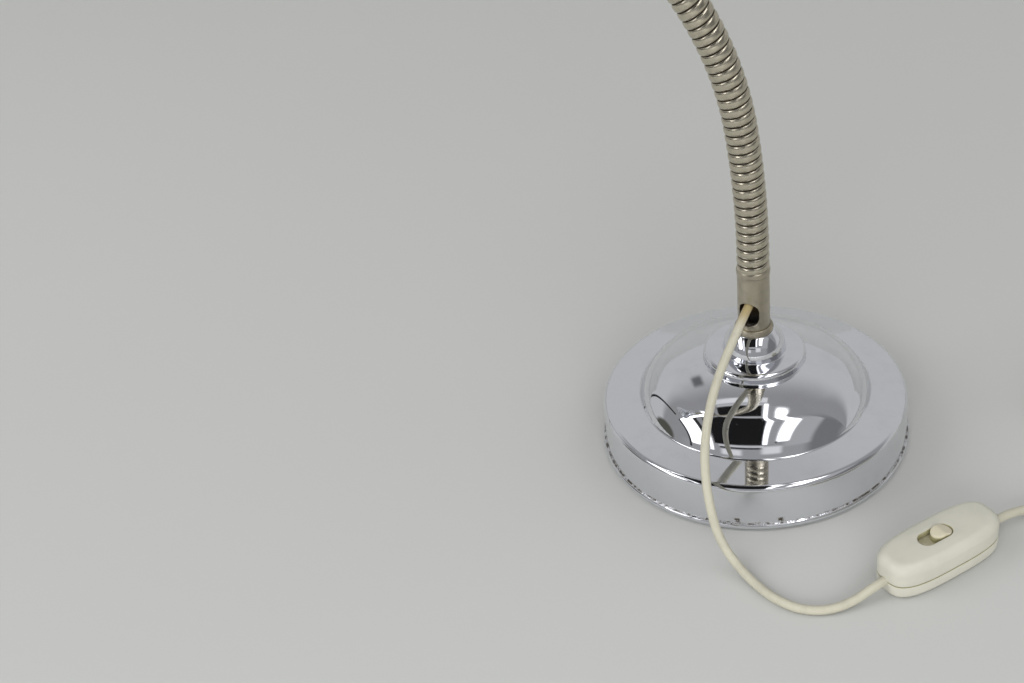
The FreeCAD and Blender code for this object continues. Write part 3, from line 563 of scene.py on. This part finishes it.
# The sleeve, seen between the turns, is coloured in the painted groove shade's dark, so it stands for shade
# there.
sleeve = Finish("sleeve_shade_dark")
threads = sleeve.noise(sleeve.kept("rest", "Vector"), 900.0)
sleeve_shade_finish = sleeve.surface(Base_Color=sleeve.mix(threads, *shades(wire_groove_shade, 0.6, 1.2)), Roughness=0.8)


def arm_point(s):
    """The arm's centre point s along it, in metres."""
    return tuple(float(c) * MM for c in round_arm(s, 0.0, 0.0))


core_angle = np.linspace(0, 2 * math.pi, 32, endpoint=False)
for k in range(1, link_count):
    last_link = k == link_count - 1
    first = -hidden_turns if k == 1 else (k - 0.5) * turns_per_link
    last = (k + 1.0 if last_link else k + 0.5) * turns_per_link
    turns = np.linspace(first, last, int(round((last - first) * sections_per_turn)) + 1)[:, None]
    length = Piece().add(round_arm(turns * coil_pitch + section_along, 2 * math.pi * turns, section_radius),
                         capped=True, depth=section_depth)
    core_low = -core_reach if k == 1 else first * coil_pitch
    core_high = arm_length + core_reach if last_link else last * coil_pitch
    core_s = np.linspace(core_low, core_high, 14)[:, None]
    length.add(round_arm(core_s, core_angle, core_radius), capped=True, part=1)
    skin = length.make("gooseneck_%02d" % k, [wire_finish, sleeve_shade_finish], "nickel_wire", 60.0)
    corners = np.empty(len(skin.data.vertices) * 3, np.float32)
    skin.data.vertices.foreach_get("co", corners)
    skin.data.attributes.new("rest", "FLOAT_VECTOR", "POINT").data.foreach_set("vector", corners)
    arm_point((k - 0.5) * link_length + blend_inset)
    arm_point((k + 0.5) * link_length - blend_inset)
    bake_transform(skin)
    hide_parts("gooseneck_coil_%02d" % k, *(("gooseneck_coil_00", "inner_flex") if k == 1 else ()))

# Lamp head, measured along its own axis from the arm's end. A turned fitting
# with a thread carries a spun bell shade, chromed outside and enamelled white
# inside, and the lampholder of dark moulded plastic with a frosted bulb.

fitting_outline = [
    (2.9, -11.5), (4.0, -11.5), (4.0, 2.0), (7.45, 2.0), (8.6, 3.15), (8.6, 10.9), (7.5, 12.0), (4.9, 12.0),
    (4.9, 26.0), (2.9, 26.0)]
shade_low, shade_wall, shade_cap_radius, shade_cap_roll = 12.0, 0.8, 21.5, 4.5
shade_cap_end, shade_end, shade_mouth, shade_bulge, shade_bead = 56.0, 118.0, 56.0, 5.5, 1.1
holder_low, holder_radius, holder_wall, skirt_low, skirt_end = 12.8, 19.2, 2.0, 30.8, 61.8
holder_bore, holder_shoulder, holder_roof, cap_gap = 5.0, 10.0, 2.4, 0.2
rib_count, rib_half_width, rib_depth, skirt_lip = 6, 0.5, 0.55, 0.8
bulb_radius, bulb_neck, bulb_low, bulb_middle = 22.5, 12.2, 43.9, 91.31
enamel_white, enamel_shadow = shades((0.80, 0.79, 0.75), 1.0, 0.93)
bakelite, bakelite_dull = shades((0.020, 0.018, 0.017), 1.0, 1.7)
frost_white, frost_warm = (0.86, 0.86, 0.84), (0.82, 0.80, 0.75)
porcelain_white, porcelain_dull = (0.76, 0.75, 0.70), (0.70, 0.68, 0.62)
brass_bright, brass_tarnished = (0.60, 0.43, 0.17), (0.30, 0.20, 0.09)
aluminium_light, aluminium_dull = (0.66, 0.66, 0.65), (0.54, 0.53, 0.50)
head_x, head_z, head_lean = (float(c) for c in arm_line(arm_length))


def on_head(grid):
    """Places a grid made about Z on the head's axis."""
    x, y, z = np.moveaxis(grid, -1, 0)
    return points(head_x + x * math.cos(head_lean) - z * math.sin(head_lean), y,
                  head_z + x * math.sin(head_lean) + z * math.cos(head_lean))


fitting = Piece().add(lathe(softened(fitting_outline, 0.25, 0.3), 96, on_head), ring_rows=True)
fitting = fitting.make("arm_fitting_nickel", [satin_nickel("nickel_fitting", -1.0)], "nickel_tube")
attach(fitting, "head")
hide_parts("arm_fitting")


def shade_profile(inset):
    """The bell's profile from its roof to its mouth, moved in by inset."""
    roll = (shade_cap_radius - shade_cap_roll, shade_low + shade_cap_roll)
    shoulder = (shade_cap_radius - inset, shade_cap_end + inset / 2)
    mouth = (shade_mouth - inset, shade_end)
    return np.concatenate([
        [(stem_bore_radius, shade_low + inset)], arc(roll, shade_cap_roll - inset, -90, 0, 12),
        bowed(shoulder, mouth, shade_bulge, 40)])


shade_rim = arc((shade_mouth - shade_wall / 2, shade_end), shade_bead, -50, 230, 18)
shade_outside = np.concatenate([softened(shade_profile(0), 0.7, 1.6), shade_rim])
shade_inside = np.concatenate([[shade_rim[-1]], softened(shade_profile(shade_wall), 1.2, 1.6)[::-1],
                               [shade_outside[0]]])
enamel = Finish("shade_enamel")
spot = enamel.place()
enamel_finish = enamel.surface(
    Base_Color=enamel.mix(enamel.noise(spot, 70.0, 4.0), enamel_white, enamel_shadow),
    Roughness=0.22 + enamel.noise(spot, 160.0) * 0.12,
    Normal=enamel.bump(enamel.noise(spot, 260.0, 2.0), 0.00004))
shade = Piece().add(lathe(shade_outside, 144, on_head)).add(lathe(shade_inside, 144, on_head), part=1)
shade = shade.make("bell_shade", [chrome_finish, enamel_finish], "chromed_steel", 40.0)
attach(shade, "head")
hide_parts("shade")

moulding = Finish("dark_plastic")
spot = moulding.place()
scuff = moulding.noise(spot, 240.0, 4.0, 0.6)
moulding_finish = moulding.surface(
    Base_Color=moulding.mix(scuff.rise(0.5, 0.8), bakelite, bakelite_dull),
    Roughness=0.28 + scuff * 0.25, Normal=moulding.bump(moulding.noise(spot, 1800.0, 2.0), 0.00003))
roof = bowed((holder_shoulder, holder_low), (holder_radius, skirt_low - cap_gap), holder_wall)
roof_inside = bowed((holder_shoulder, holder_low + holder_roof),
                    (holder_radius - holder_wall, skirt_low - cap_gap), holder_wall)
holder_cap = np.concatenate([[(holder_bore, holder_low)], roof, roof_inside[::-1],
                             [(holder_bore, holder_low + holder_roof)]])
skirt_side = [(holder_radius, skirt_low)]
for height in np.linspace(skirt_low + 3.5, skirt_low + 13.5, rib_count):
    skirt_side += [(holder_radius, height - rib_half_width), (holder_radius - rib_depth, height),
                   (holder_radius, height + rib_half_width)]
skirt_side += [(holder_radius, skirt_end - 4.0), (holder_radius + skirt_lip, skirt_end - 3.2),
               (holder_radius + skirt_lip, skirt_end), (holder_radius - holder_wall, skirt_end),
               (holder_radius - holder_wall, skirt_low)]
for name, outline, node in (("holder_cap_moulded", softened(holder_cap, 0.5, 0.6), "holder_cap"),
                            ("holder_skirt_moulded", softened(skirt_side, 0.22, 0.3), "holder_skirt")):
    shell = Piece().add(lathe(outline, 120, on_head), ring_rows=True)
    shell = shell.make(name, [moulding_finish], "dark_plastic")
    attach(shell, "head")
    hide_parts(node)

glass = Finish("bulb_frost")
spot = glass.place()
bulb_finish = glass.surface(
    Base_Color=glass.mix(glass.noise(spot, 45.0, 3.0), frost_white, frost_warm),
    Roughness=0.30 + glass.noise(spot, 320.0) * 0.1, Coat_Weight=0.6,
    Normal=glass.bump(glass.noise(spot, 1500.0, 2.0), 0.00002))
neck_meets = -math.degrees(math.acos(bulb_neck / bulb_radius))
bulb_outline = np.concatenate([[(0.0, bulb_low), (bulb_neck, bulb_low)],
                               arc((0.0, bulb_middle), bulb_radius, neck_meets, 90, 60)])
bulb = Piece().add(lathe(softened(bulb_outline, 0.8, 6.0), 96, on_head), capped=True)
bulb = bulb.make("bulb_frosted", [bulb_finish], "bulb_frost", 60.0)
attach(bulb, "head")
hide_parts("bulb_glass")

porcelain = Finish("porcelain")
spot = porcelain.place()
porcelain_finish = porcelain.surface(
    Base_Color=porcelain.mix(porcelain.noise(spot, 150.0), porcelain_white, porcelain_dull),
    Roughness=0.16 + porcelain.noise(spot, 90.0) * 0.1,
    Normal=porcelain.bump(porcelain.noise(spot, 500.0), 0.00005))
dress(porcelain_finish, "holder_insert")
brass = Finish("contact_brass")
spot = brass.place()
tarnish = brass.noise(spot, 260.0, 4.0, 0.6).rise(0.4, 0.75)
brass_finish = brass.surface(
    Base_Color=brass.mix(tarnish, brass_bright, brass_tarnished), Metallic=1.0,
    Roughness=0.22 + tarnish * 0.3, Normal=brass.bump(brass.noise(spot, 1600.0), 0.00002))
dress(brass_finish, "holder_terminals", "screw_shell", "centre_contact", "switch_bridge", "switch_contacts",
      "switch_clamps")
spun = Finish("bulb_metal")
spot = spun.place()
spun_finish = spun.surface(
    Base_Color=spun.mix(spun.noise(spot, 300.0, 3.0), aluminium_light, aluminium_dull),
    Metallic=1.0, Roughness=0.26 + spun.noise(spot, 700.0) * 0.2)
dress(spun_finish, "bulb_cap", "bulb_stem")

# Cord from the neck to the switch. Two cores in a smooth ivory sheath, with
# painted brown shade where it lies in the neck's hole. Its route is the frame's, point by point.

cord_diameter = 4.2
switch_x, switch_y, switch_turn = 82.9, -94.7, math.radians(37.8)
cord_stop, entry_height = 22.1, 6.8
lead_route = [
    (1.3, 3.4, 80.4), (-3.6, -9.6, 77.2), (-9.2, -22.8, 70.4), (-15.2, -37.2, 62.4), (-19.4, -52.4, 53.8),
    (-21.2, -67.8, 45.4), (-20.5, -80.4, 35.4), (-18.3, -88.0, 25.2), (-15.5, -92.3, 15.0),
    (-11.0, -97.1, 7.8), (-4.6, -104.2, 3.5), (2.4, -112.6, 2.1), (10.8, -121.4, 2.1), (21.8, -127.8, 2.1),
    (34.0, -128.0, 2.1), (44.8, -123.4, 3.2), (53.2, -117.4, 5.9)]
ivory_clean, ivory_dulled = shades((0.475, 0.455, 0.365), 1.0, 0.88)
# brown of the painted shade on the cord in the neck's hole
ivory_hole_shade = (0.36, 0.285, 0.14)


def on_switch(grid):
    """Places points made about the switch's own middle."""
    x, y, z = np.moveaxis(np.asarray(grid, float), -1, 0)
    c, s = math.cos(switch_turn), math.sin(switch_turn)
    return points(switch_x + x * c - y * s, switch_y + x * s + y * c, z)


def cord_line(name, route, finish):
    """Round cord on one smooth curve that has the route's points as its control points."""
    curve = bpy.data.curves.new(name, "CURVE")
    curve.dimensions = "3D"
    curve.bevel_depth = cord_diameter / 2 * MM
    curve.bevel_resolution = 6
    curve.resolution_u = 8
    curve.use_fill_caps = True
    curve.materials.append(finish)
    spline = curve.splines.new("NURBS")
    spline.points.add(len(route) - 1)
    spline.points.foreach_set("co", np.c_[np.array(route) * MM, np.ones(len(route))].ravel())
    spline.order_u = 3
    spline.use_endpoint_u = True
    made = bpy.data.objects.new(name, curve)
    bpy.context.scene.collection.objects.link(made)
    return made


sheath = Finish("ivory_cord")
spot = sheath.place()
x, y, z = sheath.split(spot)
soil = sheath.noise(spot, 130.0, 4.0, 0.6).rise(0.45, 0.75)
from_axis = x.math("SQRT", x * x + y * y)
# Painted brown shade on the cord where it lies in and just out of the neck's hole.
hole_shade = z.rise(0.0715, 0.0790) * from_axis.fall(0.0110, 0.0220)
sheath_finish = sheath.surface(
    Base_Color=sheath.mix(hole_shade, sheath.mix(soil, ivory_clean, ivory_dulled), ivory_hole_shade),
    Roughness=0.42 + soil * 0.15, Normal=sheath.bump(sheath.noise(spot, 300.0, 3.0), 0.00006))
lead_route += on_switch([(-cord_stop - 1.4 * cord_diameter, 0, entry_height),
                         (-cord_stop, 0, entry_height)]).tolist()
lead = cord_line("cord_to_switch", lead_route, sheath_finish)
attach(lead, "base")
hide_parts("cord_lead")

# Inline switch. Two ivory shells that meet at a seam, the upper one crowned
# over a slot in which a thumb piece slides. Painted shade darkens seam and slot.

shell_half_length, shell_half_width, switch_height, squareness = 31.1, 13.0, 17.8, 3.2
top_roll, top_crown, foot_roll, switch_wall, seam_height, seam_gap = 4.6, 0.3, 2.6, 1.8, 7.0, 0.15
slot_half_width, slot_half_straight, slot_x, roof_low = 4.2, 4.7, -2.4, 15.2
thumb_x, thumb_half_width, thumb_half_straight, thumb_rise = 1.0, 3.9, 1.3, 1.5
ridge_x, ridge_lift, ridge_tilt, ridge_slope = -0.52, 0.1, 0.068, 0.282
slider_low, slider_high, slider_half_length, slider_half_width = 13.5, 14.9, 12.5, 5.5
plastic_ivory, plastic_aged = shades((0.525, 0.515, 0.44), 1.0, 0.93)
# greenish brown of the painted shade in seam and slot
plastic_shade_tint = (0.30, 0.28, 0.15)
thumb_ivory, thumb_aged = shades((0.56, 0.52, 0.39), 1.0, 0.93)


def oval(inset, height, columns=144):
    """Closed outline |x/a|^n + |y/b|^n = 1, moved in by inset, at a height."""
    t = np.linspace(0, 2 * math.pi, columns, endpoint=False)
    c, s = np.cos(t), np.sin(t)
    power = 2 / squareness
    return points((shell_half_length - inset) * np.sign(c) * np.abs(c) ** power,
                  (shell_half_width - inset) * np.sign(s) * np.abs(s) ** power, height)


def ivory(name, clean, aged):
    """Glossy ivory moulding, with painted greenish-brown shade where the mesh's depth marks seam and slot.
    """
    plastic = Finish(name)
    spot = plastic.place()
    cloud = plastic.noise(spot, 70.0, 4.0, 0.6)
    # Painted shade where the mesh's depth is high: in the seam, down the slot and round the thumb's foot,
    # patchy by noise.
    shade_and_dark_patches = (plastic.kept("depth") * (0.55 + plastic.noise(spot, 500.0, 3.0) * 0.9)).rise(0.25, 0.95)
    scratch = plastic.noise(plastic.stretched(spot, 1.0, 0.12, 1.0), 1700.0, 3.0).rise(0.62, 0.75)
    return plastic.surface(
        Base_Color=plastic.mix(shade_and_dark_patches, plastic.mix(cloud.rise(0.35, 0.75), clean, aged), plastic_shade_tint),
        Roughness=0.26 + cloud * 0.14 + scratch * 0.15 + shade_and_dark_patches * 0.3,
        Normal=plastic.bump(plastic.noise(spot, 900.0, 2.0) - scratch * 0.3, 0.00002))


switch_finish = ivory("ivory_plastic", plastic_ivory, plastic_aged)
roll = np.radians(np.linspace(0, 90, 12))
rim = oval(top_roll, switch_height)
slot_ray = (rim[:, 1], rim[:, 0] - slot_x)


def slot_ring(outset, height):
    """The slot's outline, moved out by outset, at a height."""
    v, u = slot_edge(*slot_ray, slot_half_width + outset, slot_half_straight)
    return points(slot_x + u, v, height)


# Each row's depth sets its painted shade: full at the seam and down in the slot.
upper = [oval(switch_wall, seam_height + seam_gap), oval(0.4, seam_height + seam_gap),
         oval(0.1, seam_height + seam_gap + 0.15), oval(0.0, seam_height + seam_gap + 0.45)]
upper_depth = [1.0, 1.0, 0.9, 0.0]
upper += [oval(0.0, height) for height in (9.0, 11.2)]
upper += [oval(top_roll * (1 - math.cos(a)), switch_height - top_roll * (1 - math.sin(a))) for a in roll]
for share in (0.12, 0.3, 0.5, 0.7, 0.86):
    lift = top_crown * (1 - (1 - share) ** 2)
    upper.append(rim + (slot_ring(0.9, switch_height) - rim) * share + [0, 0, lift])
upper_depth += [0.0] * (len(upper) - len(upper_depth))
crest = switch_height + top_crown
upper += [slot_ring(0.9, crest), slot_ring(0.5, crest), slot_ring(0.2, crest - 0.1),
          slot_ring(0.05, crest - 0.3), slot_ring(0.0, crest - 0.6), slot_ring(0.0, roof_low),
          oval(3.0, roof_low), oval(switch_wall, 14.0)]
upper_depth += [0.0, 0.25, 0.6, 0.8, 0.85, 0.9, 1.0, 1.0]
upper = Piece().add(on_switch(np.stack(upper)), ring_rows=True, depth=np.array(upper_depth)[:, None])
upper = upper.make("switch_top", [switch_finish], "ivory_plastic", 40.0)
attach(upper, "base")
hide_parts("switch_upper")

lower = [oval(foot_roll * (1 - math.sin(a)), foot_roll * (1 - math.cos(a))) for a in roll]
lower += [oval(0.0, 4.5), oval(0.0, seam_height - 0.45), oval(0.1, seam_height - 0.15),
          oval(0.4, seam_height), oval(switch_wall, seam_height), oval(switch_wall, switch_wall)]
lower_depth = [0.0] * (len(lower) - 4) + [0.9, 1.0, 1.0, 1.0]
lower = Piece().add(on_switch(np.stack(lower)), capped=True, depth=np.array(lower_depth)[:, None])
lower = lower.make("switch_bottom", [switch_finish], "ivory_plastic", 40.0)
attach(lower, "base")
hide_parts("switch_lower")

ray = np.linspace(0, 2 * math.pi, 72, endpoint=False)
thumb_v, thumb_u = slot_edge(np.sin(ray), np.cos(ray), thumb_half_width, thumb_half_straight)


def thumb_top(u):
    """Height of the wedge at u from the thumb's middle: a blunt ridge between two slopes. At d from
    the ridge it falls by ridge_tilt times d and by ridge_slope times the root of d^2 + 1, less 1."""
    d = u - ridge_x
    return switch_height + thumb_rise + ridge_lift - ridge_tilt * d - ridge_slope * (np.sqrt(d ** 2 + 1) - 1)


thumb_rings = (  # share of the thumb's width, drop under its top, depth of painted shade
    (1.0, 1.4, 1.0), (1.0, 0.55, 0.25), (0.985, 0.25, 0.0), (0.94, 0.06, 0.0), (0.86, 0.0, 0.0),
    (0.65, 0.0, 0.0), (0.4, 0.0, 0.0), (0.15, 0.0, 0.0))
thumb_rows = [points(thumb_x + thumb_u, thumb_v, slider_high - 0.6)]
thumb_depth = [1.0]
for scale, drop, depth in thumb_rings:
    u, v = thumb_u * scale, thumb_v * scale
    thumb_rows.append(points(thumb_x + u, v, thumb_top(u) - drop))
    thumb_depth.append(depth)
plate_x = np.clip(np.cos(ray) * 1.5, -1, 1) * slider_half_length + thumb_x
plate_y = np.clip(np.sin(ray) * 1.5, -1, 1) * slider_half_width
plate = np.stack([points(plate_x, plate_y, height) for height in (slider_low, slider_high)])
thumb = Piece().add(on_switch(np.stack(thumb_rows)), capped=True, depth=np.array(thumb_depth)[:, None])
thumb.add(on_switch(plate), capped=True, depth=0.55)
thumb_finish = ivory("thumb_plastic", thumb_ivory, thumb_aged)
thumb = thumb.make("switch_thumb_piece", [thumb_finish], "ivory_plastic", 50.0)
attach(thumb, "switch_slider")
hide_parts("switch_thumb")

# Cord from the switch to the plug. It leaves the picture at once, and its
# length is put away in a neat coil of four layers with a band round it.

coil_mean_radius, coil_turns, coil_layers, climb_turns = 23.2, 9.79, 4, 0.5
coil_start, coil_heading = np.array([178.0, -48.0, 2.9]), math.radians(15.0)
loop_step, layer_step, points_per_turn = 4.75, 4.7, 16
run_route = [(116.2, -68.2, 5.8), (126.0, -62.0, 3.6), (136.4, -58.4, 2.4), (147.0, -56.2, 2.15),
             (157.4, -53.6, 2.3)]
tail_route = [(160.2, -51.2, 13.8), (159.6, -41.4, 9.6), (159.2, -32.6, 6.9), (159.1, -24.0, 6.75)]
coil_way = np.array([math.cos(coil_heading), math.sin(coil_heading), 0.0])
layer_turns = coil_turns / coil_layers
coil_outer = coil_mean_radius + loop_step * layer_turns / 2
coil_centre = coil_start + coil_way * cord_diameter + np.array([coil_way[1], -coil_way[0], 0.0]) * coil_outer


def coil_line(turn, widen=1.0):
    """Line of the coil at a turn number: it spirals in and out by layer, and climbs where it turns back."""
    layer = np.minimum((turn / layer_turns).astype(int), coil_layers - 1)
    along = turn / layer_turns - layer
    inward = np.where(layer % 2 == 0, along, 1 - along)
    radius = (coil_outer - loop_step * layer_turns * inward) * widen
    level = sum(np.clip((turn - k * layer_turns) / climb_turns + 0.5, 0, 1) for k in range(1, coil_layers))
    angle = coil_heading + math.pi / 2 - 2 * math.pi * turn
    return coil_centre + points(radius * np.cos(angle), radius * np.sin(angle), layer_step * level)


coil_points = int(coil_turns * points_per_turn)
coil_turn = (np.arange(coil_points) + 0.5) * coil_turns / coil_points
corner_widening = 4 / (3 + math.cos(2 * math.pi * coil_turns / coil_points))
coil_end = coil_line(np.array([coil_turns]))[0]
end_angle = coil_heading + math.pi / 2 - 2 * math.pi * coil_turns
end_way = np.array([math.sin(end_angle), -math.cos(end_angle), 0.0])
flex_route = on_switch([(cord_stop, 0, entry_height), (cord_stop + 9.0, 0, entry_height)]).tolist()
flex_route += run_route
flex_route += [(coil_start - coil_way * 10.5).tolist(), coil_start.tolist()]
flex_route += coil_line(coil_turn, corner_widening).tolist()
flex_route += [(coil_end + end_way * reach).tolist() for reach in (1.0, cord_diameter, 3.2 * cord_diameter)]
flex_route += tail_route
flex = cord_line("cord_to_plug", flex_route, sheath_finish)
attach(flex, "base")
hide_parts("cord_run", "cord_coil", "cord_tail")

# Band round the coil, and the plug: one flat two-pin moulding with its ribbed
# strain relief, and two round pins.

tie_turn, tie_width, tie_thickness, tie_gap = math.radians(-60.0), 5.0, 0.5, 0.3
tie_near = coil_outer - loop_step * layer_turns - cord_diameter / 2 - tie_gap
tie_far = coil_outer + cord_diameter / 2 + tie_gap
tie_top = coil_start[2] + layer_step * (coil_layers - 1) + cord_diameter / 2 + tie_gap
plug_entry, plug_turn, rib_pitch = np.array([159.1, -24.0, 6.75]), math.radians(90.67), 2.75
band_white, band_soiled = shades((0.74, 0.74, 0.71), 1.0, 0.86)
pin_nickel, pin_worn = (0.66, 0.62, 0.52), (0.55, 0.49, 0.36)
plug_stations = np.array([  # along, half width, half thickness, squareness
    (0.0, 2.3, 2.3, 2.0), (0.0, 2.7, 2.7, 2.0), (20.5, 4.7, 4.7, 2.0), (22.0, 5.2, 5.2, 2.2),
    (22.8, 6.6, 5.9, 2.8), (24.4, 8.2, 6.5, 3.6), (34.0, 16.9, 6.75, 4.5), (36.0, 17.5, 6.75, 4.5),
    (49.4, 17.5, 6.75, 4.5), (51.2, 16.8, 6.1, 4.5), (52.0, 15.4, 4.7, 4.5)])

tie_angle = np.linspace(0, 2 * math.pi, 96, endpoint=False)
c, s = np.cos(tie_angle), np.sin(tie_angle)
tie_rows = []
for offset, edge in ((0.0, -1), (tie_thickness, -1), (tie_thickness, 1), (0.0, 1)):
    half_long, half_high = (tie_far - tie_near) / 2 + offset, (tie_top - tie_thickness) / 2 + offset
    along = (tie_near + tie_far) / 2 + half_long * np.sign(c) * np.abs(c) ** 0.35
    high = tie_thickness + (tie_top - tie_thickness) / 2 + half_high * np.sign(s) * np.abs(s) ** 0.35
    side = edge * tie_width / 2
    tie_rows.append(points(coil_centre[0] + along * math.cos(tie_turn) - side * math.sin(tie_turn),
                           coil_centre[1] + along * math.sin(tie_turn) + side * math.cos(tie_turn), high))
band = Finish("tie_band")
spot = band.place()
weave = band.noise(band.stretched(spot, 1.0, 1.0, 4.0), 1500.0, 2.0)
band_finish = band.surface(Base_Color=band.mix(band.noise(spot, 180.0, 3.0), band_white, band_soiled),
                           Roughness=0.5 + weave * 0.2, Normal=band.bump(weave, 0.00008))
tie = Piece().add(np.stack(tie_rows), ring_rows=True).make("coil_band", [band_finish], "tie_band")
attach(tie, "base")
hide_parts("cord_tie")

station = np.concatenate([np.linspace(0.0, 22.0, 89), np.linspace(22.2, 52.0, 76)])
half_width, half_thick, power = (
    np.interp(station, plug_stations[:, 0], plug_stations[:, k])[:, None] for k in (1, 2, 3))
groove = (1 + np.cos(station * 2 * math.pi / rib_pitch)) / 2 * (station > 3.0) * (station < 20.6)
groove = (np.clip(groove, 0.6, 1.0) - 0.6)[:, None] * 1.6
body_angle = np.linspace(0, 2 * math.pi, 96, endpoint=False)
c, s = np.cos(body_angle), np.sin(body_angle)
body_y = (half_width - groove) * np.sign(c) * np.abs(c) ** (2 / power)
body_z = (half_thick - groove) * np.sign(s) * np.abs(s) ** (2 / power)


def on_plug(x, y, z):
    """Places points made along the plug's own axis."""
    return points(plug_entry[0] + x * math.cos(plug_turn) - y * math.sin(plug_turn),
                  plug_entry[1] + x * math.sin(plug_turn) + y * math.cos(plug_turn), plug_entry[2] + z)


plug = Piece().add(on_plug(station[:, None], body_y, body_z), capped=True)
plug = plug.make("plug_moulding", [switch_finish], "ivory_plastic", 40.0)
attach(plug, "base")
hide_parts("plug_body")
pin = Finish("plug_pin_nickel")
spot = pin.place()
pin_finish = pin.surface(
    Base_Color=pin.mix(pin.noise(spot, 300.0, 3.0), pin_nickel, pin_worn),
    Metallic=1.0, Roughness=0.2 + pin.noise(spot, 900.0) * 0.2)
dress(pin_finish, "plug_pins")
flex_exit = tuple(float(c) * MM for c in on_switch((shell_half_length, 0, entry_height)))

# Room. A pale table that sweeps up into a backdrop, soft lamps, and what the
# chrome sees besides: a bright window at each side and the dark room between.

table_grey = (0.50, 0.505, 0.49)
sweep_half_width, sweep_front, sweep_back, sweep_bend, sweep_top = 2200.0, -2200.0, 900.0, 600.0, 700.0
ambient_low, ambient_front = 0.50, 0.96
room_dim, room_back, shelf_dark = 0.30, 0.53, (0.09, 0.09, 0.075)
windows = (  # across, - to the left; over, 0 in front and 90 straight up; edge, all in degrees; light
    (-60, 60, -20, 28, 12, 0.34), (54, 76, 4, 84, 14, 0.19), (28, 46, 34, 88, 7, 0.42),
    (-54, -45, 28, 98, 5, 3.0), (-58.5, -57.2, 12, 96, 0.7, 0.02), (-116, -113, 98, 178, 1, 0.02),
    (-41.5, -39, 24, 100, 1.2, 0.03), (-38, -35.8, 20, 66, 1.2, 1.6), (-46, -41, 126, 130, 4, 0.14),
    (-33, 6.2, 37, 94.4, 1, 0.012), (-34, 6.2, 95.2, 97, 0.5, 0.42), (-34, 4, 97.6, 105.2, 0.6, 0.012),
    (-34, 5, 106, 107, 0.5, 0.50), (-40, 8, 108.4, 111, 1.2, 0.75), (-30, 7, 32, 34.4, 0.9, 0.60),
    (-29, 6, 28, 30.4, 1, 0.05), (-26, -14, 16, 23, 5, 0.75), (9, 20, 20, 30, 6, 0.75),
    (10.8, 16, 38, 105, 1, 0.34), (16.8, 17.8, 40, 100, 0.7, 0.02), (20.5, 25, 46, 101, 5, 4.0),
    (7, 9.2, 38, 106, 1.6, 2.2))

bend = np.radians(np.linspace(0, 90, 24))
sweep_y = np.r_[sweep_front, -400.0, 0.0, 400.0, sweep_back + sweep_bend * np.sin(bend),
                sweep_back + sweep_bend]
sweep_z = np.r_[0.0, 0.0, 0.0, 0.0, sweep_bend * (1 - np.cos(bend)), sweep_top]
sweep_x = np.linspace(-sweep_half_width, sweep_half_width, 9)
sweep = points(sweep_x, sweep_y[:, None], sweep_z[:, None])
paper = Finish("table_paper")
spot = paper.place()
paper_finish = paper.surface(
    Base_Color=paper.mix(paper.noise(spot, 2.2, 2.0), *shades(table_grey, 0.98, 1.02)),
    Roughness=0.6, Normal=paper.bump(paper.noise(spot, 900.0), 0.00003))
paper.shader.inputs["Specular IOR Level"].default_value = 0.25
table = Piece().add(sweep, ring_columns=False).make("table_sweep", [paper_finish], "")

room = Finish("room", room=True)
bpy.context.scene.world = room.owner
x, y, z = room.split(room.place("Generated"))
over = z.math("ARCTAN2", z, y * -1) * math.degrees(1)
across = x.math("ARCSINE", x) * math.degrees(1) * (1 + over.rise(86, 98))
seen = room.mix(over.rise(112, 134), (room_dim,) * 3, (room_back,) * 3)
for left, right, low, high, edge, light in windows:
    inside = across.within(left, right, edge) * over.within(low, high, edge)
    seen = room.mix(inside, seen, (light, light * 1.005, light * 1.02))
seen = room.mix(x.fall(-0.985, -0.968), seen, shelf_dark)
glossy = room.node("ShaderNodeLightPath", {}, {}, "Is Glossy Ray")
lit = room.mix((y * -1).rise(-0.5, 0.9), (ambient_low,) * 3, (ambient_front,) * 3)
room.surface(Color=room.mix(glossy, lit, seen), Strength=1.0)


def lamp(name, place, target, width, depth, power):
    """Soft rectangular lamp at place, aimed at target. It lights and doesn't show in reflections."""
    data = bpy.data.lights.new(name, "AREA")
    data.shape = "RECTANGLE"
    data.size, data.size_y = width * MM, depth * MM
    data.energy = power
    made = bpy.data.objects.new(name, data)
    bpy.context.scene.collection.objects.link(made)
    place, target = np.array(place, float), np.array(target, float)
    back = (place - target) / np.linalg.norm(place - target)
    side = np.cross([0, 0, 1], back)
    side /= np.linalg.norm(side)
    matrix = np.eye(4)
    matrix[:3] = np.stack([side, np.cross(back, side), back, place * MM], -1)
    made.matrix_world = [list(column) for column in matrix.T]
    made.visible_glossy = False
    made.visible_camera = False


lamp("window_right", (1100, 250, 1350), (0, 0, 80), 1100, 900, 3.0)
lamp("window_left", (-1150, -300, 950), (0, 0, 80), 900, 800, 6.0)
lamp("front_fill", (100, -1300, 400), (40, -60, 20), 900, 500, 9.0)
